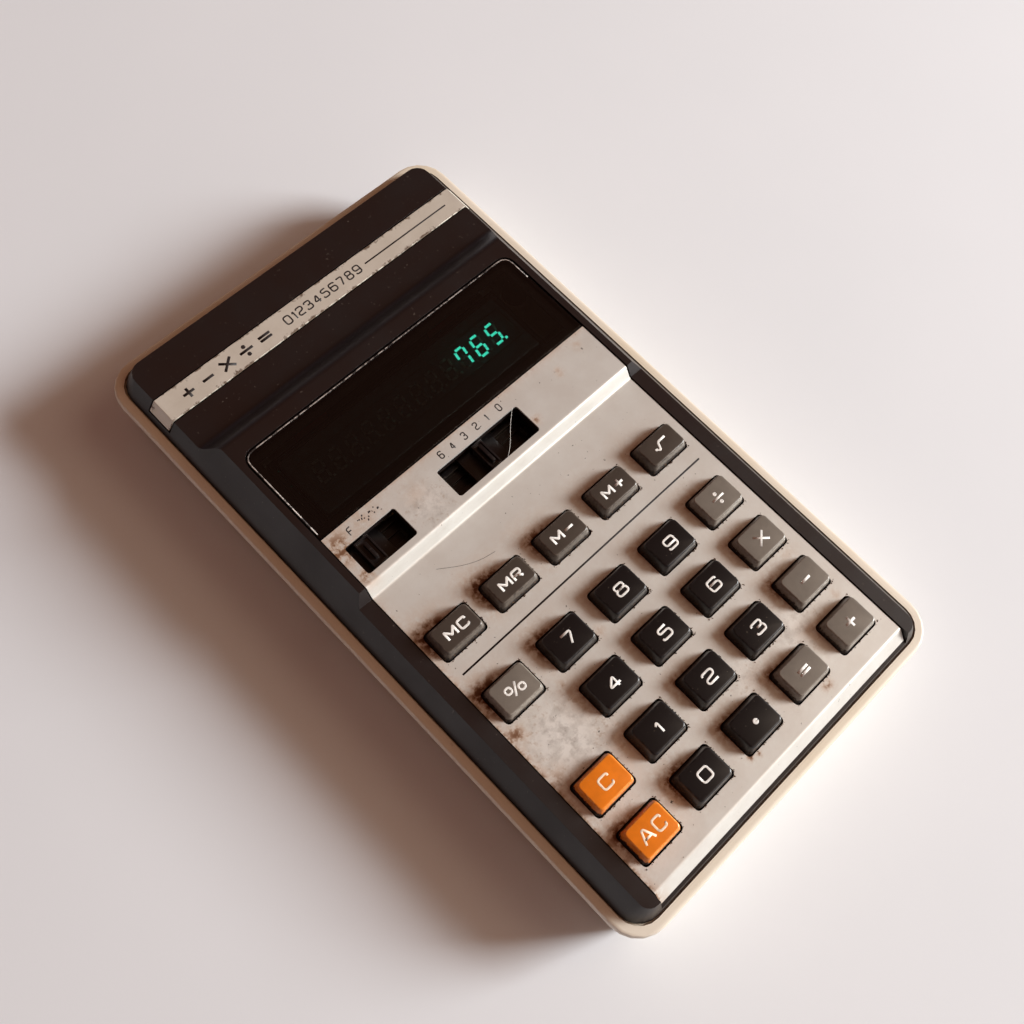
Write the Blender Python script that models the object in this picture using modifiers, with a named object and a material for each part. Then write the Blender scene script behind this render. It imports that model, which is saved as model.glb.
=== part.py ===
"""Pocket calculator: a two-shell case, a bent aluminium face plate, 24 keys, two selector
switches, a side power switch, a fluorescent display and two AA cells behind a sliding door.

Metres, +Z up, +Y towards the display end. The origin is on the table, under the case's middle.
"""

from math import cos, hypot, pi, sin

import bmesh
import bpy
from mathutils import Matrix, Vector

MM = 0.001
GAP = 0.3 * MM  # clearance between pieces that touch or slide

# Case, outside
CASE_WIDTH = 87.5 * MM
CASE_LENGTH = 149.7 * MM
CASE_CORNER = 7.0 * MM
BOTTOM_TUCK = 4.75 * MM  # how far the underside stands in from the rim
BOTTOM_ROUND = 2.6 * MM
RIM_HEIGHT = 13.2 * MM  # where the tapering lower wall reaches the rim
LIP_TOP = 15.0 * MM
LIP_WIDTH = 2.0 * MM
LIP_DEPTH = 1.0 * MM  # how far the lip stands above the ledge behind it
LIP_ROUND = 0.8 * MM
INNER_CORNER = 1.5 * MM  # least corner radius inside the tray
FLOOR = 1.8 * MM
LOWER_WALL = 2.0 * MM

# Top case
SIDE_SLOPE = 0.63  # inward lean of the black side walls, per unit of height
END_SLOPE = 0.35  # the same for the front and back walls
UPPER_WALL = 2.4 * MM  # measured level, across the leaning wall
TOP_CORNER = 0.6 * MM
RAIL_TOP = 19.7 * MM
DISPLAY_TOP = 22.2 * MM
DISPLAY_ROOF = 2.4 * MM
BACK_ROOF = 1.6 * MM
DECK_WALL = 1.3 * MM
STEP_Y = 3.4 * MM  # foot of the step between the key deck and the switch zone
STEP_RUN = 1.7 * MM
STEP_BEND_SET = 1.2 * MM  # how far the inner face of a slope lags its outer face
SHOULDER_BACK = 31.05 * MM  # from the case's back end to where the roof starts to fall
SHOULDER_RUN = 5.5 * MM

# Face plate
PLATE = 0.5 * MM
PLATE_MARGIN = 8.55 * MM  # from the case's side to the plate's edge
PLATE_TOP = 19.5 * MM
PLATE_END = 17.65 * MM
PLATE_FRONT = 5.55 * MM  # from the case's front to the bend
FACET_RUN = 2.1 * MM
FACET_DROP = 2.5 * MM

# Display window, tube and trim
WINDOW = 1.2 * MM
WINDOW_TOP = 22.1 * MM
WINDOW_LENGTH = 22.55 * MM
WINDOW_CORNER = 2.5 * MM
WINDOW_LEDGE = 2.2 * MM
TUBE_WIDTH = 59.0 * MM
TUBE_LENGTH = 15.9 * MM
TUBE_HEIGHT = 4.7 * MM
TUBE_SHIFT = -1.0 * MM
HOLDER_WALL = 0.8 * MM
STRIP = 0.4 * MM
STRIP_PROUD = 0.1 * MM
STRIP_WIDTH = 6.0 * MM
STRIP_BACK = 15.35 * MM  # from the case's back end to the strip's middle
STRIP_COVER = 0.62  # share of the wall above the lip that the strip's ends cover

# Keys
KEY_COLUMN_PITCH = 14.0 * MM
KEY_ROW_PITCH = 11.45 * MM
KEY_FIRST_GAP = 15.4 * MM
KEY_SHIFT = -0.3 * MM
KEY_FIRST_ROW = 15.1 * MM  # from the foot of the step to the memory row's middle
KEY_HEIGHT = 2.5 * MM  # above the face plate
KEY_TRAVEL = 1.3 * MM
KEY_FLANGE = 0.5 * MM
KEY_FLANGE_THICK = 0.8 * MM
KEY_BOSS = 0.4 * MM
KEY_BOSS_HALF = 1.6 * MM
KEY_CORNER = 0.7 * MM
KEY_BEZEL = 0.35 * MM  # gap round a key in the plate and in the deck
MEMORY_BASE = (10.6 * MM, 7.0 * MM)
MEMORY_FACE = (8.6 * MM, 4.9 * MM)
NUMBER_BASE = (10.1 * MM, 7.8 * MM)
NUMBER_FACE = (8.2 * MM, 6.05 * MM)

# Boards, contact sheet and what is on the boards
BOARD = 1.2 * MM
MAIN_BOARD = 1.6 * MM
MAIN_BOARD_Z = 5.5 * MM
MAIN_BOARD_INSET = 14.25 * MM
SHEET = 0.4 * MM
DOME = 0.4 * MM
DOME_RADIUS = 2.6 * MM
PIN_RADIUS = 0.9 * MM
PIN_TAIL = 0.6 * MM  # how far a staked pin passes the board
POST_RADIUS = 2.0 * MM
POST_INSET = 3.0 * MM  # from the main board's side edge to a post

# Selector switches in the face plate, and the power switch in the side wall
SWITCH_Y = 10.2 * MM
SWITCH_WINDOW = 7.0 * MM
ROUNDING_WINDOW = (-33.1 * MM, -20.7 * MM)
ROUNDING_KNOB_X = -29.5 * MM
ROUNDING_TRAVEL = 6.8 * MM
ROUNDING_KNOB = 3.4 * MM
DECIMAL_WINDOW = (-9.7 * MM, 12.0 * MM)
DECIMAL_KNOB_X = 0.6 * MM
DECIMAL_KNOB = 2.6 * MM
DECIMAL_LEFT = 6.24 * MM
DECIMAL_RIGHT = 9.36 * MM
KNOB_LENGTH = 6.2 * MM
KNOB_SUNK = 0.9 * MM
KNOB_RIDGE = 0.6 * MM
KNOB_FOOT = (9.0 * MM, 8.4 * MM, 0.8 * MM)
SWITCH_BODY = 4.1 * MM
POWER_Y = 21.0 * MM
POWER_Z = 7.4 * MM
POWER_KNOB = (4.0 * MM, 2.0 * MM)
POWER_TRAVEL = 5.0 * MM
POWER_BODY = (5.0 * MM, 13.0 * MM, 5.0 * MM)
POWER_FOOT = 0.9 * MM
POWER_SUNK = 0.35 * MM  # how far the knob stays inside the rim's side
JACK_Y = 9.0 * MM
JACK_Z = 7.4 * MM
JACK_BODY = (8.0 * MM, 8.0 * MM, 7.0 * MM)
JACK_NOSE = 2.3 * MM
JACK_BORE = 1.7 * MM

# Battery bay
CELL_DIAMETER = 14.5 * MM
CELL_LENGTH = 50.5 * MM
CELL_NUB = (2.75 * MM, 1.3 * MM)
CELL_BACK = 5.2 * MM  # from the case's back end to the first cell
CELL_SPACE = 0.5 * MM  # between the cells, and in front of the second
BAY_WALL = 1.0 * MM
BAY_TOP = 13.0 * MM
SPRING_LENGTH = 5.4 * MM
SPRING_TURNS = 3
SPRING_WIRE = 0.4 * MM
CONTACT = 0.4 * MM
DOOR_MARGIN = 0.75 * MM  # how far the door's panel passes the contact blocks
RAIL_REACH = 1.8 * MM
RAIL_THICK = 0.8 * MM
RAIL_WIDTH = 3.1 * MM

# Case screws
SCREW_INSET = 8.25 * MM
REAR_SCREW_BACK = 38.35 * MM
SCREW_SHANK = 1.1 * MM
SCREW_HEAD = (2.3 * MM, 1.6 * MM)
SCREW_LENGTH = 13.0 * MM
SCREW_SUNK = 0.5 * MM  # from the table to the underside of a head
SCREW_SEAT = 2.4 * MM
SCREW_SINK = 5.0 * MM  # depth of the hole in an upper boss
BOSS_SPLIT = 11.0 * MM
LOWER_BOSS = 3.4 * MM
UPPER_BOSS = 2.8 * MM
BOSS_ROOT = 0.4 * MM  # how far a boss or pin runs into the ceiling it stands on

KEY_ROWS = (
    ("mc", "mr", "m_minus", "m_plus", "root"),
    ("percent", "7", "8", "9", "divide"),
    (None, "4", "5", "6", "multiply"),
    ("c", "1", "2", "3", "minus"),
    ("ac", "0", "point", "equals", "plus"),
)
GREY_KEYS = ("percent", "divide", "multiply", "minus", "plus", "equals")
ORANGE_KEYS = ("c", "ac")

# Heights and places that follow from the sizes above
CELL_Z = FLOOR + GAP + CELL_DIAMETER / 2
BACK_TOP = CELL_Z + CELL_DIAMETER / 2 + 0.4 * MM + BACK_ROOF
LEDGE_Z = LIP_TOP - LIP_DEPTH
SEAM_Z = LEDGE_Z + GAP
SEAM_HALF = (CASE_WIDTH / 2 - LIP_WIDTH - GAP, CASE_LENGTH / 2 - LIP_WIDTH - GAP)
PLATE_HALF = CASE_WIDTH / 2 - PLATE_MARGIN
STEP_RISE = DISPLAY_TOP - RAIL_TOP
DECK_TOP = PLATE_TOP - PLATE - GAP
DECK_UNDER = DECK_TOP - DECK_WALL
FLANGE_TOP = DECK_UNDER - GAP
FLANGE_UNDER = FLANGE_TOP - KEY_FLANGE_THICK
KEY_FOOT = FLANGE_UNDER - KEY_BOSS
DOME_TOP = KEY_FOOT - KEY_TRAVEL - GAP
SHEET_TOP = DOME_TOP - DOME
BOARD_TOP = SHEET_TOP - SHEET - GAP
BOARD_UNDER = BOARD_TOP - BOARD
PIN_FOOT = BOARD_UNDER - PIN_TAIL
DISPLAY_UNDER = DISPLAY_TOP - DISPLAY_ROOF
WINDOW_START = PLATE_END + GAP
WINDOW_END = WINDOW_START + WINDOW_LENGTH
WINDOW_SEAT = WINDOW_TOP - WINDOW - GAP
TUBE_TOP = DISPLAY_UNDER - 0.5 * MM
TUBE_Y = (WINDOW_START + WINDOW_END) / 2
CELL_Y = CASE_LENGTH / 2 - CELL_BACK - CELL_DIAMETER / 2
CELL_YS = (CELL_Y, CELL_Y - CELL_DIAMETER - CELL_SPACE)
BAY_FRONT = CELL_YS[1] - CELL_DIAMETER / 2 - CELL_SPACE
BAY_HALF = (CELL_LENGTH + SPRING_LENGTH + 2 * GAP) / 2 + GAP
BLOCK_INNER = BAY_HALF + CONTACT + GAP
DOOR_HALF = BLOCK_INNER + DOOR_MARGIN
SHOULDER_Y = CASE_LENGTH / 2 - SHOULDER_BACK
STRIP_Y = CASE_LENGTH / 2 - STRIP_BACK
FIRST_ROW_Y = STEP_Y - KEY_FIRST_ROW
SCREW_X = CASE_WIDTH / 2 - SCREW_INSET
SCREW_YS = (FIRST_ROW_Y - KEY_FIRST_GAP / 2, CASE_LENGTH / 2 - REAR_SCREW_BACK)
LOWER_DRAFT = (BOTTOM_TUCK - BOTTOM_ROUND) / (RIM_HEIGHT - BOTTOM_ROUND)
LEDGE_INNER = LIP_WIDTH + LOWER_WALL - 0.2 * MM  # from the case's side to the ledge's inner edge


def start_scene():
    """An empty scene with a collection for the parts and one for the cutters."""
    for old in list(bpy.data.objects):
        bpy.data.objects.remove(old)
    found = []
    for name in ("pocket_calculator", "cutters"):
        collection = bpy.data.collections.new(name)
        bpy.context.scene.collection.children.link(collection)
        found.append(collection)
    return found


def material(name, colour, roughness, metallic=0.0, alpha=1.0):
    made = bpy.data.materials.new(name)
    made.use_nodes = True
    shader = made.node_tree.nodes["Principled BSDF"]
    shader.inputs["Base Color"].default_value = (*colour, 1.0)
    shader.inputs["Roughness"].default_value = roughness
    shader.inputs["Metallic"].default_value = metallic
    shader.inputs["Alpha"].default_value = alpha
    return made


def add(name, bm, look=None):
    """The mesh as an object: a part when it has a material, otherwise a cutter or a piece to join."""
    mesh = bpy.data.meshes.new(name)
    bmesh.ops.recalc_face_normals(bm, faces=bm.faces)
    bm.to_mesh(mesh)
    bm.free()
    made = bpy.data.objects.new(name, mesh)
    if look:
        mesh.materials.append(look)
        PARTS.objects.link(made)
    else:
        CUTTERS.objects.link(made)
        made.hide_render = True
        made.display_type = "WIRE"
    return made


def join(target, other, operation):
    modifier = target.modifiers.new(other.name, "BOOLEAN")
    modifier.operation = operation
    modifier.object = other
    modifier.solver = "EXACT"
    return target


def cut(target, *others):
    for other in others:
        join(target, other, "DIFFERENCE")
    return target


def put_box(bm, low, high):
    size = [b - a for a, b in zip(low, high)]
    middle = [(a + b) / 2 for a, b in zip(low, high)]
    place = Matrix.Translation(middle) @ Matrix.Diagonal((*size, 1))
    bmesh.ops.create_cube(bm, size=1, matrix=place)


def boxes(name, spans, look=None):
    """One mesh of boxes, each given by its lowest and highest corner."""
    bm = bmesh.new()
    for low, high in spans:
        put_box(bm, low, high)
    return add(name, bm, look)


def rods(name, places, radius, low, high, look=None, sides=16):
    """Upright round rods at each (x, y)."""
    bm = bmesh.new()
    for x, y in places:
        bmesh.ops.create_cone(
            bm, cap_ends=True, segments=sides, radius1=radius, radius2=radius,
            depth=high - low, matrix=Matrix.Translation((x, y, (low + high) / 2)))
    return add(name, bm, look)


def ring(half_x, half_y, radius, z, corner_steps, x=0.0, y=0.0):
    """A rounded rectangle's points, anticlockwise from above."""
    found = []
    for quarter, (side_x, side_y) in enumerate(((1, 1), (-1, 1), (-1, -1), (1, -1))):
        for step in range(corner_steps + 1):
            turn = (quarter + step / corner_steps) * pi / 2
            found.append((
                x + side_x * (half_x - radius) + radius * cos(turn),
                y + side_y * (half_y - radius) + radius * sin(turn), z))
    return found


def loft(bm, rings):
    """A closed skin through rings that have the same number of points, capped at both ends."""
    loops = [[bm.verts.new(point) for point in points] for points in rings]
    for lower, upper in zip(loops, loops[1:]):
        for i, corner in enumerate(lower):
            after = (i + 1) % len(lower)
            bm.faces.new((corner, lower[after], upper[after], upper[i]))
    bm.faces.new(loops[0][::-1])
    bm.faces.new(loops[-1])


def outline_solid(name, points, low, high, look=None, plane="YZ"):
    """A flat outline made solid: along X for a side view, along Y for an end view, or upwards."""
    curve = bpy.data.curves.new(name, "CURVE")
    curve.dimensions = "2D"
    curve.fill_mode = "BOTH"
    curve.extrude = (high - low) / 2
    spline = curve.splines.new("POLY")
    spline.points.add(len(points) - 1)
    for point, (u, v) in zip(spline.points, points):
        point.co = (u, v, 0, 1)
    spline.use_cyclic_u = True
    turns = {
        "YZ": Matrix(((0, 0, 1, 0), (1, 0, 0, 0), (0, 1, 0, 0), (0, 0, 0, 1))),
        "XZ": Matrix(((1, 0, 0, 0), (0, 0, -1, 0), (0, 1, 0, 0), (0, 0, 0, 1))),
        "XY": Matrix.Identity(4),
    }
    along = -(low + high) / 2 if plane == "XZ" else (low + high) / 2
    drawn = bpy.data.objects.new(name + "_outline", curve)
    CUTTERS.objects.link(drawn)
    bpy.context.view_layer.update()
    graph = bpy.context.evaluated_depsgraph_get()
    flat = bpy.data.meshes.new_from_object(drawn.evaluated_get(graph))
    bpy.data.objects.remove(drawn)
    bm = bmesh.new()
    bm.from_mesh(flat)
    bmesh.ops.remove_doubles(bm, verts=bm.verts, dist=1e-6)
    bmesh.ops.transform(bm, verts=bm.verts, matrix=turns[plane] @ Matrix.Translation((0, 0, along)))
    return add(name, bm, look)


def turned(name, profile, matrix, look=None, steps=16):
    """A profile of (radius, height) points, run down its outer side, turned about its own Z."""
    bm = bmesh.new()
    points = [bm.verts.new((radius, 0, height)) for radius, height in profile]
    for a, b in zip(points, points[1:]):
        bm.edges.new((a, b))
    made = add(name, bm, look)
    made.matrix_world = matrix
    screw = made.modifiers.new("turn", "SCREW")
    screw.steps = screw.render_steps = steps
    screw.use_merge_vertices = True
    screw.merge_threshold = 1e-6
    return made


def moved_path(points, distance):
    """The path shifted square to itself, to its right as it runs, with mitred bends."""
    found = []
    for i, (u, v) in enumerate(points):
        sides = []
        for a, b in ((i - 1, i), (i, i + 1)):
            if a >= 0 and b < len(points):
                run = Vector(points[b]) - Vector(points[a])
                sides.append(Vector((run.y, -run.x)) / run.length)
        middle = sum(sides, Vector((0, 0))) / len(sides)
        reach = distance / middle.length_squared
        found.append((u + middle.x * reach, v + middle.y * reach))
    return found


def inner_wall(z):
    """Half the space between the lower case's side walls at a height."""
    return CASE_WIDTH / 2 - LEDGE_INNER - LOWER_DRAFT * (LEDGE_Z - z)


def side_half(z):
    """Half the black case's width at a height: upright behind the lip, leaning above it."""
    return SEAM_HALF[0] - SIDE_SLOPE * max(z - LIP_TOP, 0)


def end_half(z):
    """Half the black case's length at a height."""
    return SEAM_HALF[1] - END_SLOPE * max(z - LIP_TOP, 0)


def roof_path(deck, display, back, lag, reach):
    """The roof seen from the side, from the front to the back."""
    path = [(-reach, deck), (STEP_Y - lag, deck), (STEP_Y + STEP_RUN - lag, display)]
    start = SHOULDER_Y - lag
    for step in range(9):
        share = step / 8
        fall = share * share * (3 - 2 * share)
        path.append((start + share * SHOULDER_RUN, display + (back - display) * fall))
    return path + [(reach, back)]


def roof_solid(name, path, low, half_width):
    """Everything under a roof path, down to a level."""
    under = [(path[-1][0], low), (path[0][0], low)]
    return outline_solid(name, path[::-1] + under[::-1], -half_width, half_width)


def plate_path():
    """The face plate's top surface seen from the side, from the front edge to the window."""
    bend = -CASE_LENGTH / 2 + PLATE_FRONT
    high = PLATE_TOP + STEP_RISE
    return [
        (bend - FACET_RUN, PLATE_TOP - FACET_DROP), (bend, PLATE_TOP), (STEP_Y, PLATE_TOP),
        (STEP_Y + STEP_RUN, high), (PLATE_END, high)]


def key_places():
    """Each key's name, middle and row."""
    y = FIRST_ROW_Y
    for row, names in enumerate(KEY_ROWS):
        if row:
            y -= KEY_FIRST_GAP if row == 1 else KEY_ROW_PITCH
        for column, name in enumerate(names):
            if name:
                yield name, KEY_SHIFT + (column - 2) * KEY_COLUMN_PITCH, y, row


def key_base(row):
    return NUMBER_BASE if row else MEMORY_BASE


def key_openings(name, low, high):
    """A cutter for every key hole, one bezel gap wider than the key all round."""
    bm = bmesh.new()
    for _, x, y, row in key_places():
        half_x, half_y = (side / 2 + KEY_BEZEL for side in key_base(row))
        loft(bm, [ring(half_x, half_y, KEY_CORNER, z, 1, x, y) for z in (low, high)])
    return add(name, bm)


def switch_windows(name, low, high):
    y0, y1 = SWITCH_Y - SWITCH_WINDOW / 2, SWITCH_Y + SWITCH_WINDOW / 2
    return boxes(name, [((a, y0, low), (b, y1, high)) for a, b in (ROUNDING_WINDOW, DECIMAL_WINDOW)])


def pin_places():
    """Heat-staked pins that carry the keyboard, in the gaps between keys."""
    between = 1.5 * KEY_COLUMN_PITCH
    upper = FIRST_ROW_Y - KEY_FIRST_GAP / 2
    lower = FIRST_ROW_Y - KEY_FIRST_GAP - 2.5 * KEY_ROW_PITCH
    return [(KEY_SHIFT + side * between, y) for side in (-1, 1) for y in (upper, lower)]


def screw_places():
    return [(side * SCREW_X, y) for y in SCREW_YS for side in (-1, 1)]


def keyboard_bosses():
    """The screw bosses that pass the keyboard board."""
    return [(x, y) for x, y in screw_places() if y < STEP_Y]


def make_bottom_case(look):
    """An open tray drawn as one run of rings: up the outside, over the lip and down the inside."""
    half = (CASE_WIDTH / 2, CASE_LENGTH / 2)
    corner_foot = BOTTOM_TUCK - BOTTOM_ROUND
    stations = []
    for step in range(4):
        turn = step / 3 * pi / 2
        stations.append((corner_foot + BOTTOM_ROUND * (1 - sin(turn)), BOTTOM_ROUND * (1 - cos(turn))))
    stations += [
        (0, RIM_HEIGHT), (0, LIP_TOP - LIP_ROUND), (0.3 * LIP_ROUND, LIP_TOP - 0.3 * LIP_ROUND),
        (LIP_ROUND, LIP_TOP),
        (LIP_WIDTH, LIP_TOP), (LIP_WIDTH, LEDGE_Z), (LEDGE_INNER, LEDGE_Z),
        (LEDGE_INNER + LOWER_DRAFT * (LEDGE_Z - FLOOR - LOWER_WALL), FLOOR + LOWER_WALL / 2),
        (LEDGE_INNER + LOWER_DRAFT * (LEDGE_Z - FLOOR) + LOWER_WALL / 2, FLOOR)]
    bm = bmesh.new()
    loft(bm, [
        ring(half[0] - inset, half[1] - inset, max(CASE_CORNER - inset, INNER_CORNER), z, 5)
        for inset, z in stations])
    tray = add("bottom_case", bm, look)

    # Screw bosses, board posts and the battery bay's walls
    post_x = CASE_WIDTH / 2 - MAIN_BOARD_INSET - POST_INSET
    post_ys = (-CASE_LENGTH / 2 + 16 * MM, BAY_FRONT - 10 * MM)
    posts = [(side * post_x, y) for side in (-1, 1) for y in post_ys]
    top = BOSS_SPLIT - GAP / 2
    join(tray, rods("lower_bosses", screw_places(), LOWER_BOSS, FLOOR / 2, top), "UNION")
    join(tray, rods("board_posts", posts, POST_RADIUS, FLOOR / 2, MAIN_BOARD_Z - GAP, sides=10), "UNION")
    block_outer = DOOR_HALF + RAIL_REACH + GAP
    bay_back = CASE_LENGTH / 2 - LOWER_WALL
    rail_top = FLOOR + GAP + RAIL_THICK + GAP
    walls = [((-block_outer, BAY_FRONT - BAY_WALL, FLOOR / 2), (block_outer, BAY_FRONT, BAY_TOP))]
    for side in (-1, 1):
        low, high = sorted((side * block_outer, side * (block_outer + BAY_WALL)))
        walls.append(((low, BAY_FRONT - BAY_WALL, FLOOR / 2), (high, bay_back, BAY_TOP)))
    for i, wall in enumerate(walls):
        join(tray, boxes(f"bay_wall_{i}", [wall]), "UNION")
    for side in (-1, 1):
        low, high = sorted((side * BLOCK_INNER, side * (block_outer + BAY_WALL / 2)))
        block = ((low, BAY_FRONT - BAY_WALL / 2, rail_top), (high, bay_back, BAY_TOP - GAP))
        join(tray, boxes(f"contact_block_{side + 1}", [block]), "UNION")

    # Openings: the door's panel and rails, the screws, the power switch and the jack
    outside = CASE_LENGTH
    panel = ((-DOOR_HALF - GAP, BAY_FRONT + GAP, -FLOOR), (DOOR_HALF + GAP, outside, FLOOR + GAP))
    cut(tray, boxes("door_opening", [panel]))
    for side in (-1, 1):
        low, high = sorted((side * (block_outer - RAIL_WIDTH - 2 * GAP), side * block_outer))
        groove = ((low, BAY_FRONT + GAP, FLOOR), (high, outside, rail_top))
        cut(tray, boxes(f"rail_groove_{side + 1}", [groove]))
    head = SCREW_HEAD[0] + GAP
    cut(tray, rods("screw_heads", screw_places(), head, -FLOOR, SCREW_SEAT))
    hole = SCREW_SHANK + GAP
    cut(tray, rods("screw_holes", screw_places(), hole, FLOOR / 2, BOSS_SPLIT + MM, sides=12))
    slot_half_y = POWER_KNOB[0] / 2 + GAP
    slot = (
        (SCREW_X, POWER_Y - POWER_TRAVEL - slot_half_y, POWER_Z - POWER_KNOB[1] / 2 - GAP),
        (CASE_WIDTH, POWER_Y + slot_half_y, POWER_Z + POWER_KNOB[1] / 2 + GAP))
    cut(tray, boxes("power_slot", [slot]))
    bm = bmesh.new()
    place = Matrix.Translation((-CASE_WIDTH / 2, JACK_Y, JACK_Z)) @ Matrix.Rotation(pi / 2, 4, "Y")
    bmesh.ops.create_cone(
        bm, cap_ends=True, segments=16, radius1=JACK_NOSE + GAP, radius2=JACK_NOSE + GAP,
        depth=6 * LOWER_WALL, matrix=place)
    cut(tray, add("jack_hole", bm))
    return tray


def frustum(name, inset, z0, z1):
    """The case's four walls with their rounded corners, as a solid."""
    corner = CASE_CORNER - LIP_WIDTH
    rings = []
    for z in (z0, LIP_TOP, z1):
        share = max(z - LIP_TOP, 0) / (DISPLAY_TOP - LIP_TOP)
        radius = max(corner + (TOP_CORNER - corner) * share - inset / 3, TOP_CORNER / 2)
        rings.append(ring(side_half(z) - inset, end_half(z) - inset, radius, z, 5))
    bm = bmesh.new()
    loft(bm, rings)
    return bm


def make_top_case(look):
    """The leaning walls under a stepped roof, hollowed, with seats for what is set in it."""
    reach = CASE_LENGTH
    shell = add("top_case", frustum("walls", 0, SEAM_Z, DISPLAY_TOP + MM), look)
    outer_roof = roof_path(RAIL_TOP, DISPLAY_TOP, BACK_TOP, 0, reach)
    join(shell, roof_solid("roof", outer_roof, 0, CASE_WIDTH), "INTERSECT")
    hollow = add("hollow", frustum("hollow", UPPER_WALL, SEAM_Z - MM, DISPLAY_TOP + MM))
    inner_roof = roof_path(DECK_UNDER, DISPLAY_UNDER, BACK_TOP - BACK_ROOF, STEP_BEND_SET, reach)
    join(hollow, roof_solid("ceiling", inner_roof, -MM, CASE_WIDTH), "INTERSECT")
    cut(shell, hollow)

    # Bosses for the screws, joined to the ceiling or the wall, and pins for the keyboard
    in_wall = LIP_TOP + (SEAM_HALF[0] - SCREW_X - UPPER_BOSS - BOSS_ROOT) / SIDE_SLOPE
    for i, (x, y) in enumerate(screw_places()):
        ceiling = DECK_UNDER if y < STEP_Y else DISPLAY_UNDER
        boss_top = min(ceiling + BOSS_ROOT, in_wall)
        boss = rods(f"upper_boss_{i}", [(x, y)], UPPER_BOSS, BOSS_SPLIT + GAP / 2, boss_top)
        join(shell, boss, "UNION")
    pins = rods("pins", pin_places(), PIN_RADIUS, PIN_FOOT, DECK_UNDER + BOSS_ROOT, sides=8)
    join(shell, pins, "UNION")
    hole, hole_top = SCREW_SHANK + GAP, BOSS_SPLIT + SCREW_SINK
    cut(shell, rods("boss_holes", screw_places(), hole, BOSS_SPLIT - MM, hole_top, sides=12))

    # Seats: face plate, window and trim strip
    above = DISPLAY_TOP + 2 * MM
    seat = moved_path(plate_path(), PLATE + GAP)
    facet = Vector(seat[0]) - Vector(seat[1])
    front_end = tuple(Vector(seat[0]) + facet / facet.length * GAP)
    outline = [
        front_end, *seat[1:-1], (WINDOW_START, seat[-1][1]), (WINDOW_START, above), (-reach, above),
        (-reach, front_end[1])]
    half = PLATE_HALF + GAP
    cut(shell, outline_solid("plate_seat", outline, -half, half))
    cut(shell, window_solid("window_seat", GAP, WINDOW_SEAT, above))
    aperture = (
        (-PLATE_HALF + WINDOW_LEDGE, WINDOW_START + WINDOW_LEDGE, DISPLAY_UNDER - MM),
        (PLATE_HALF - WINDOW_LEDGE, WINDOW_END - WINDOW_LEDGE, above))
    cut(shell, boxes("display_aperture", [aperture]))
    strip_half = STRIP_WIDTH / 2 + GAP
    groove = strip_outline(STRIP + GAP, 2 * MM, GAP)
    ends = (STRIP_Y - strip_half, STRIP_Y + strip_half)
    cut(shell, outline_solid("strip_groove", groove, *ends, plane="XZ"))
    cut(shell, key_openings("deck_holes", DECK_UNDER - MM, PLATE_TOP))
    cut(shell, switch_windows("switch_holes", DISPLAY_UNDER - MM, above))
    return shell


def window_solid(name, grow, low, high, look=None):
    """The window's outline: square where it meets the plate, rounded at the far corners."""
    half = PLATE_HALF + grow
    end = WINDOW_END + grow
    radius = WINDOW_CORNER + grow
    points = [(-half, WINDOW_START - grow), (half, WINDOW_START - grow)]
    for side in (1, -1):
        for step in range(5):
            turn = (step / 4) * pi / 2 if side > 0 else pi / 2 + (step / 4) * pi / 2
            points.append((
                side * (half - radius) + radius * cos(turn), end - radius + radius * sin(turn)))
    return outline_solid(name, points, low, high, look, plane="XY")


def make_face_plate(look):
    """Thin sheet bent down at the step and over the front edge, pierced for keys and switches."""
    bm = bmesh.new()
    left, right = (
        [bm.verts.new((side * PLATE_HALF, y, z)) for y, z in plate_path()] for side in (-1, 1))
    for i in range(len(left) - 1):
        bm.faces.new((left[i], right[i], right[i + 1], left[i + 1]))
    plate = add("face_plate", bm, look)
    if plate.data.polygons[0].normal.z < 0:
        plate.data.flip_normals()
    thick = plate.modifiers.new("sheet", "SOLIDIFY")
    thick.thickness = PLATE
    thick.offset = -1
    thick.use_even_offset = True
    cut(plate, key_openings("plate_holes", DECK_TOP - MM, PLATE_TOP + MM))
    return cut(plate, switch_windows("plate_windows", DECK_TOP - MM, DISPLAY_TOP + MM))


def strip_outline(depth, lift, longer):
    """The trim strip's end view: across the roof and part way down both walls."""
    top = BACK_TOP + STRIP_PROUD
    proud = STRIP_PROUD * hypot(1, SIDE_SLOPE)
    foot = top - STRIP_COVER * (top - LIP_TOP) - longer
    left = [(-side_half(foot) - proud, foot), (-side_half(top) - proud, top)]
    path = left + [(-x, z) for x, z in left[::-1]]
    return moved_path(path, -lift) + moved_path(path, depth)[::-1]


def make_trim_strip(look):
    outline = strip_outline(STRIP, 0, 0)
    half = STRIP_WIDTH / 2
    return outline_solid("trim_strip", outline, STRIP_Y - half, STRIP_Y + half, look, plane="XZ")


def make_key(name, x, y, row, look):
    """A tapered cap with a flange that holds it under the deck and a boss that presses the dome."""
    base = [side / 2 for side in key_base(row)]
    face = [side / 2 for side in (NUMBER_FACE if row else MEMORY_FACE)]
    flange = [side + KEY_FLANGE for side in base]
    top = PLATE_TOP + KEY_HEIGHT
    round_over = 0.25 * MM
    boss = (KEY_BOSS_HALF, KEY_BOSS_HALF)
    stations = (
        (boss, KEY_FOOT), (boss, FLANGE_UNDER), (flange, FLANGE_UNDER), (flange, FLANGE_TOP),
        (base, FLANGE_TOP), (base, PLATE_TOP),
        ([side + round_over / 2 for side in face], top - round_over),
        ([side - round_over / 2 for side in face], top))
    bm = bmesh.new()
    loft(bm, [ring(*half, KEY_CORNER, z, 1, x, y) for half, z in stations])
    return add(f"key_{name}", bm, look)


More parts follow.
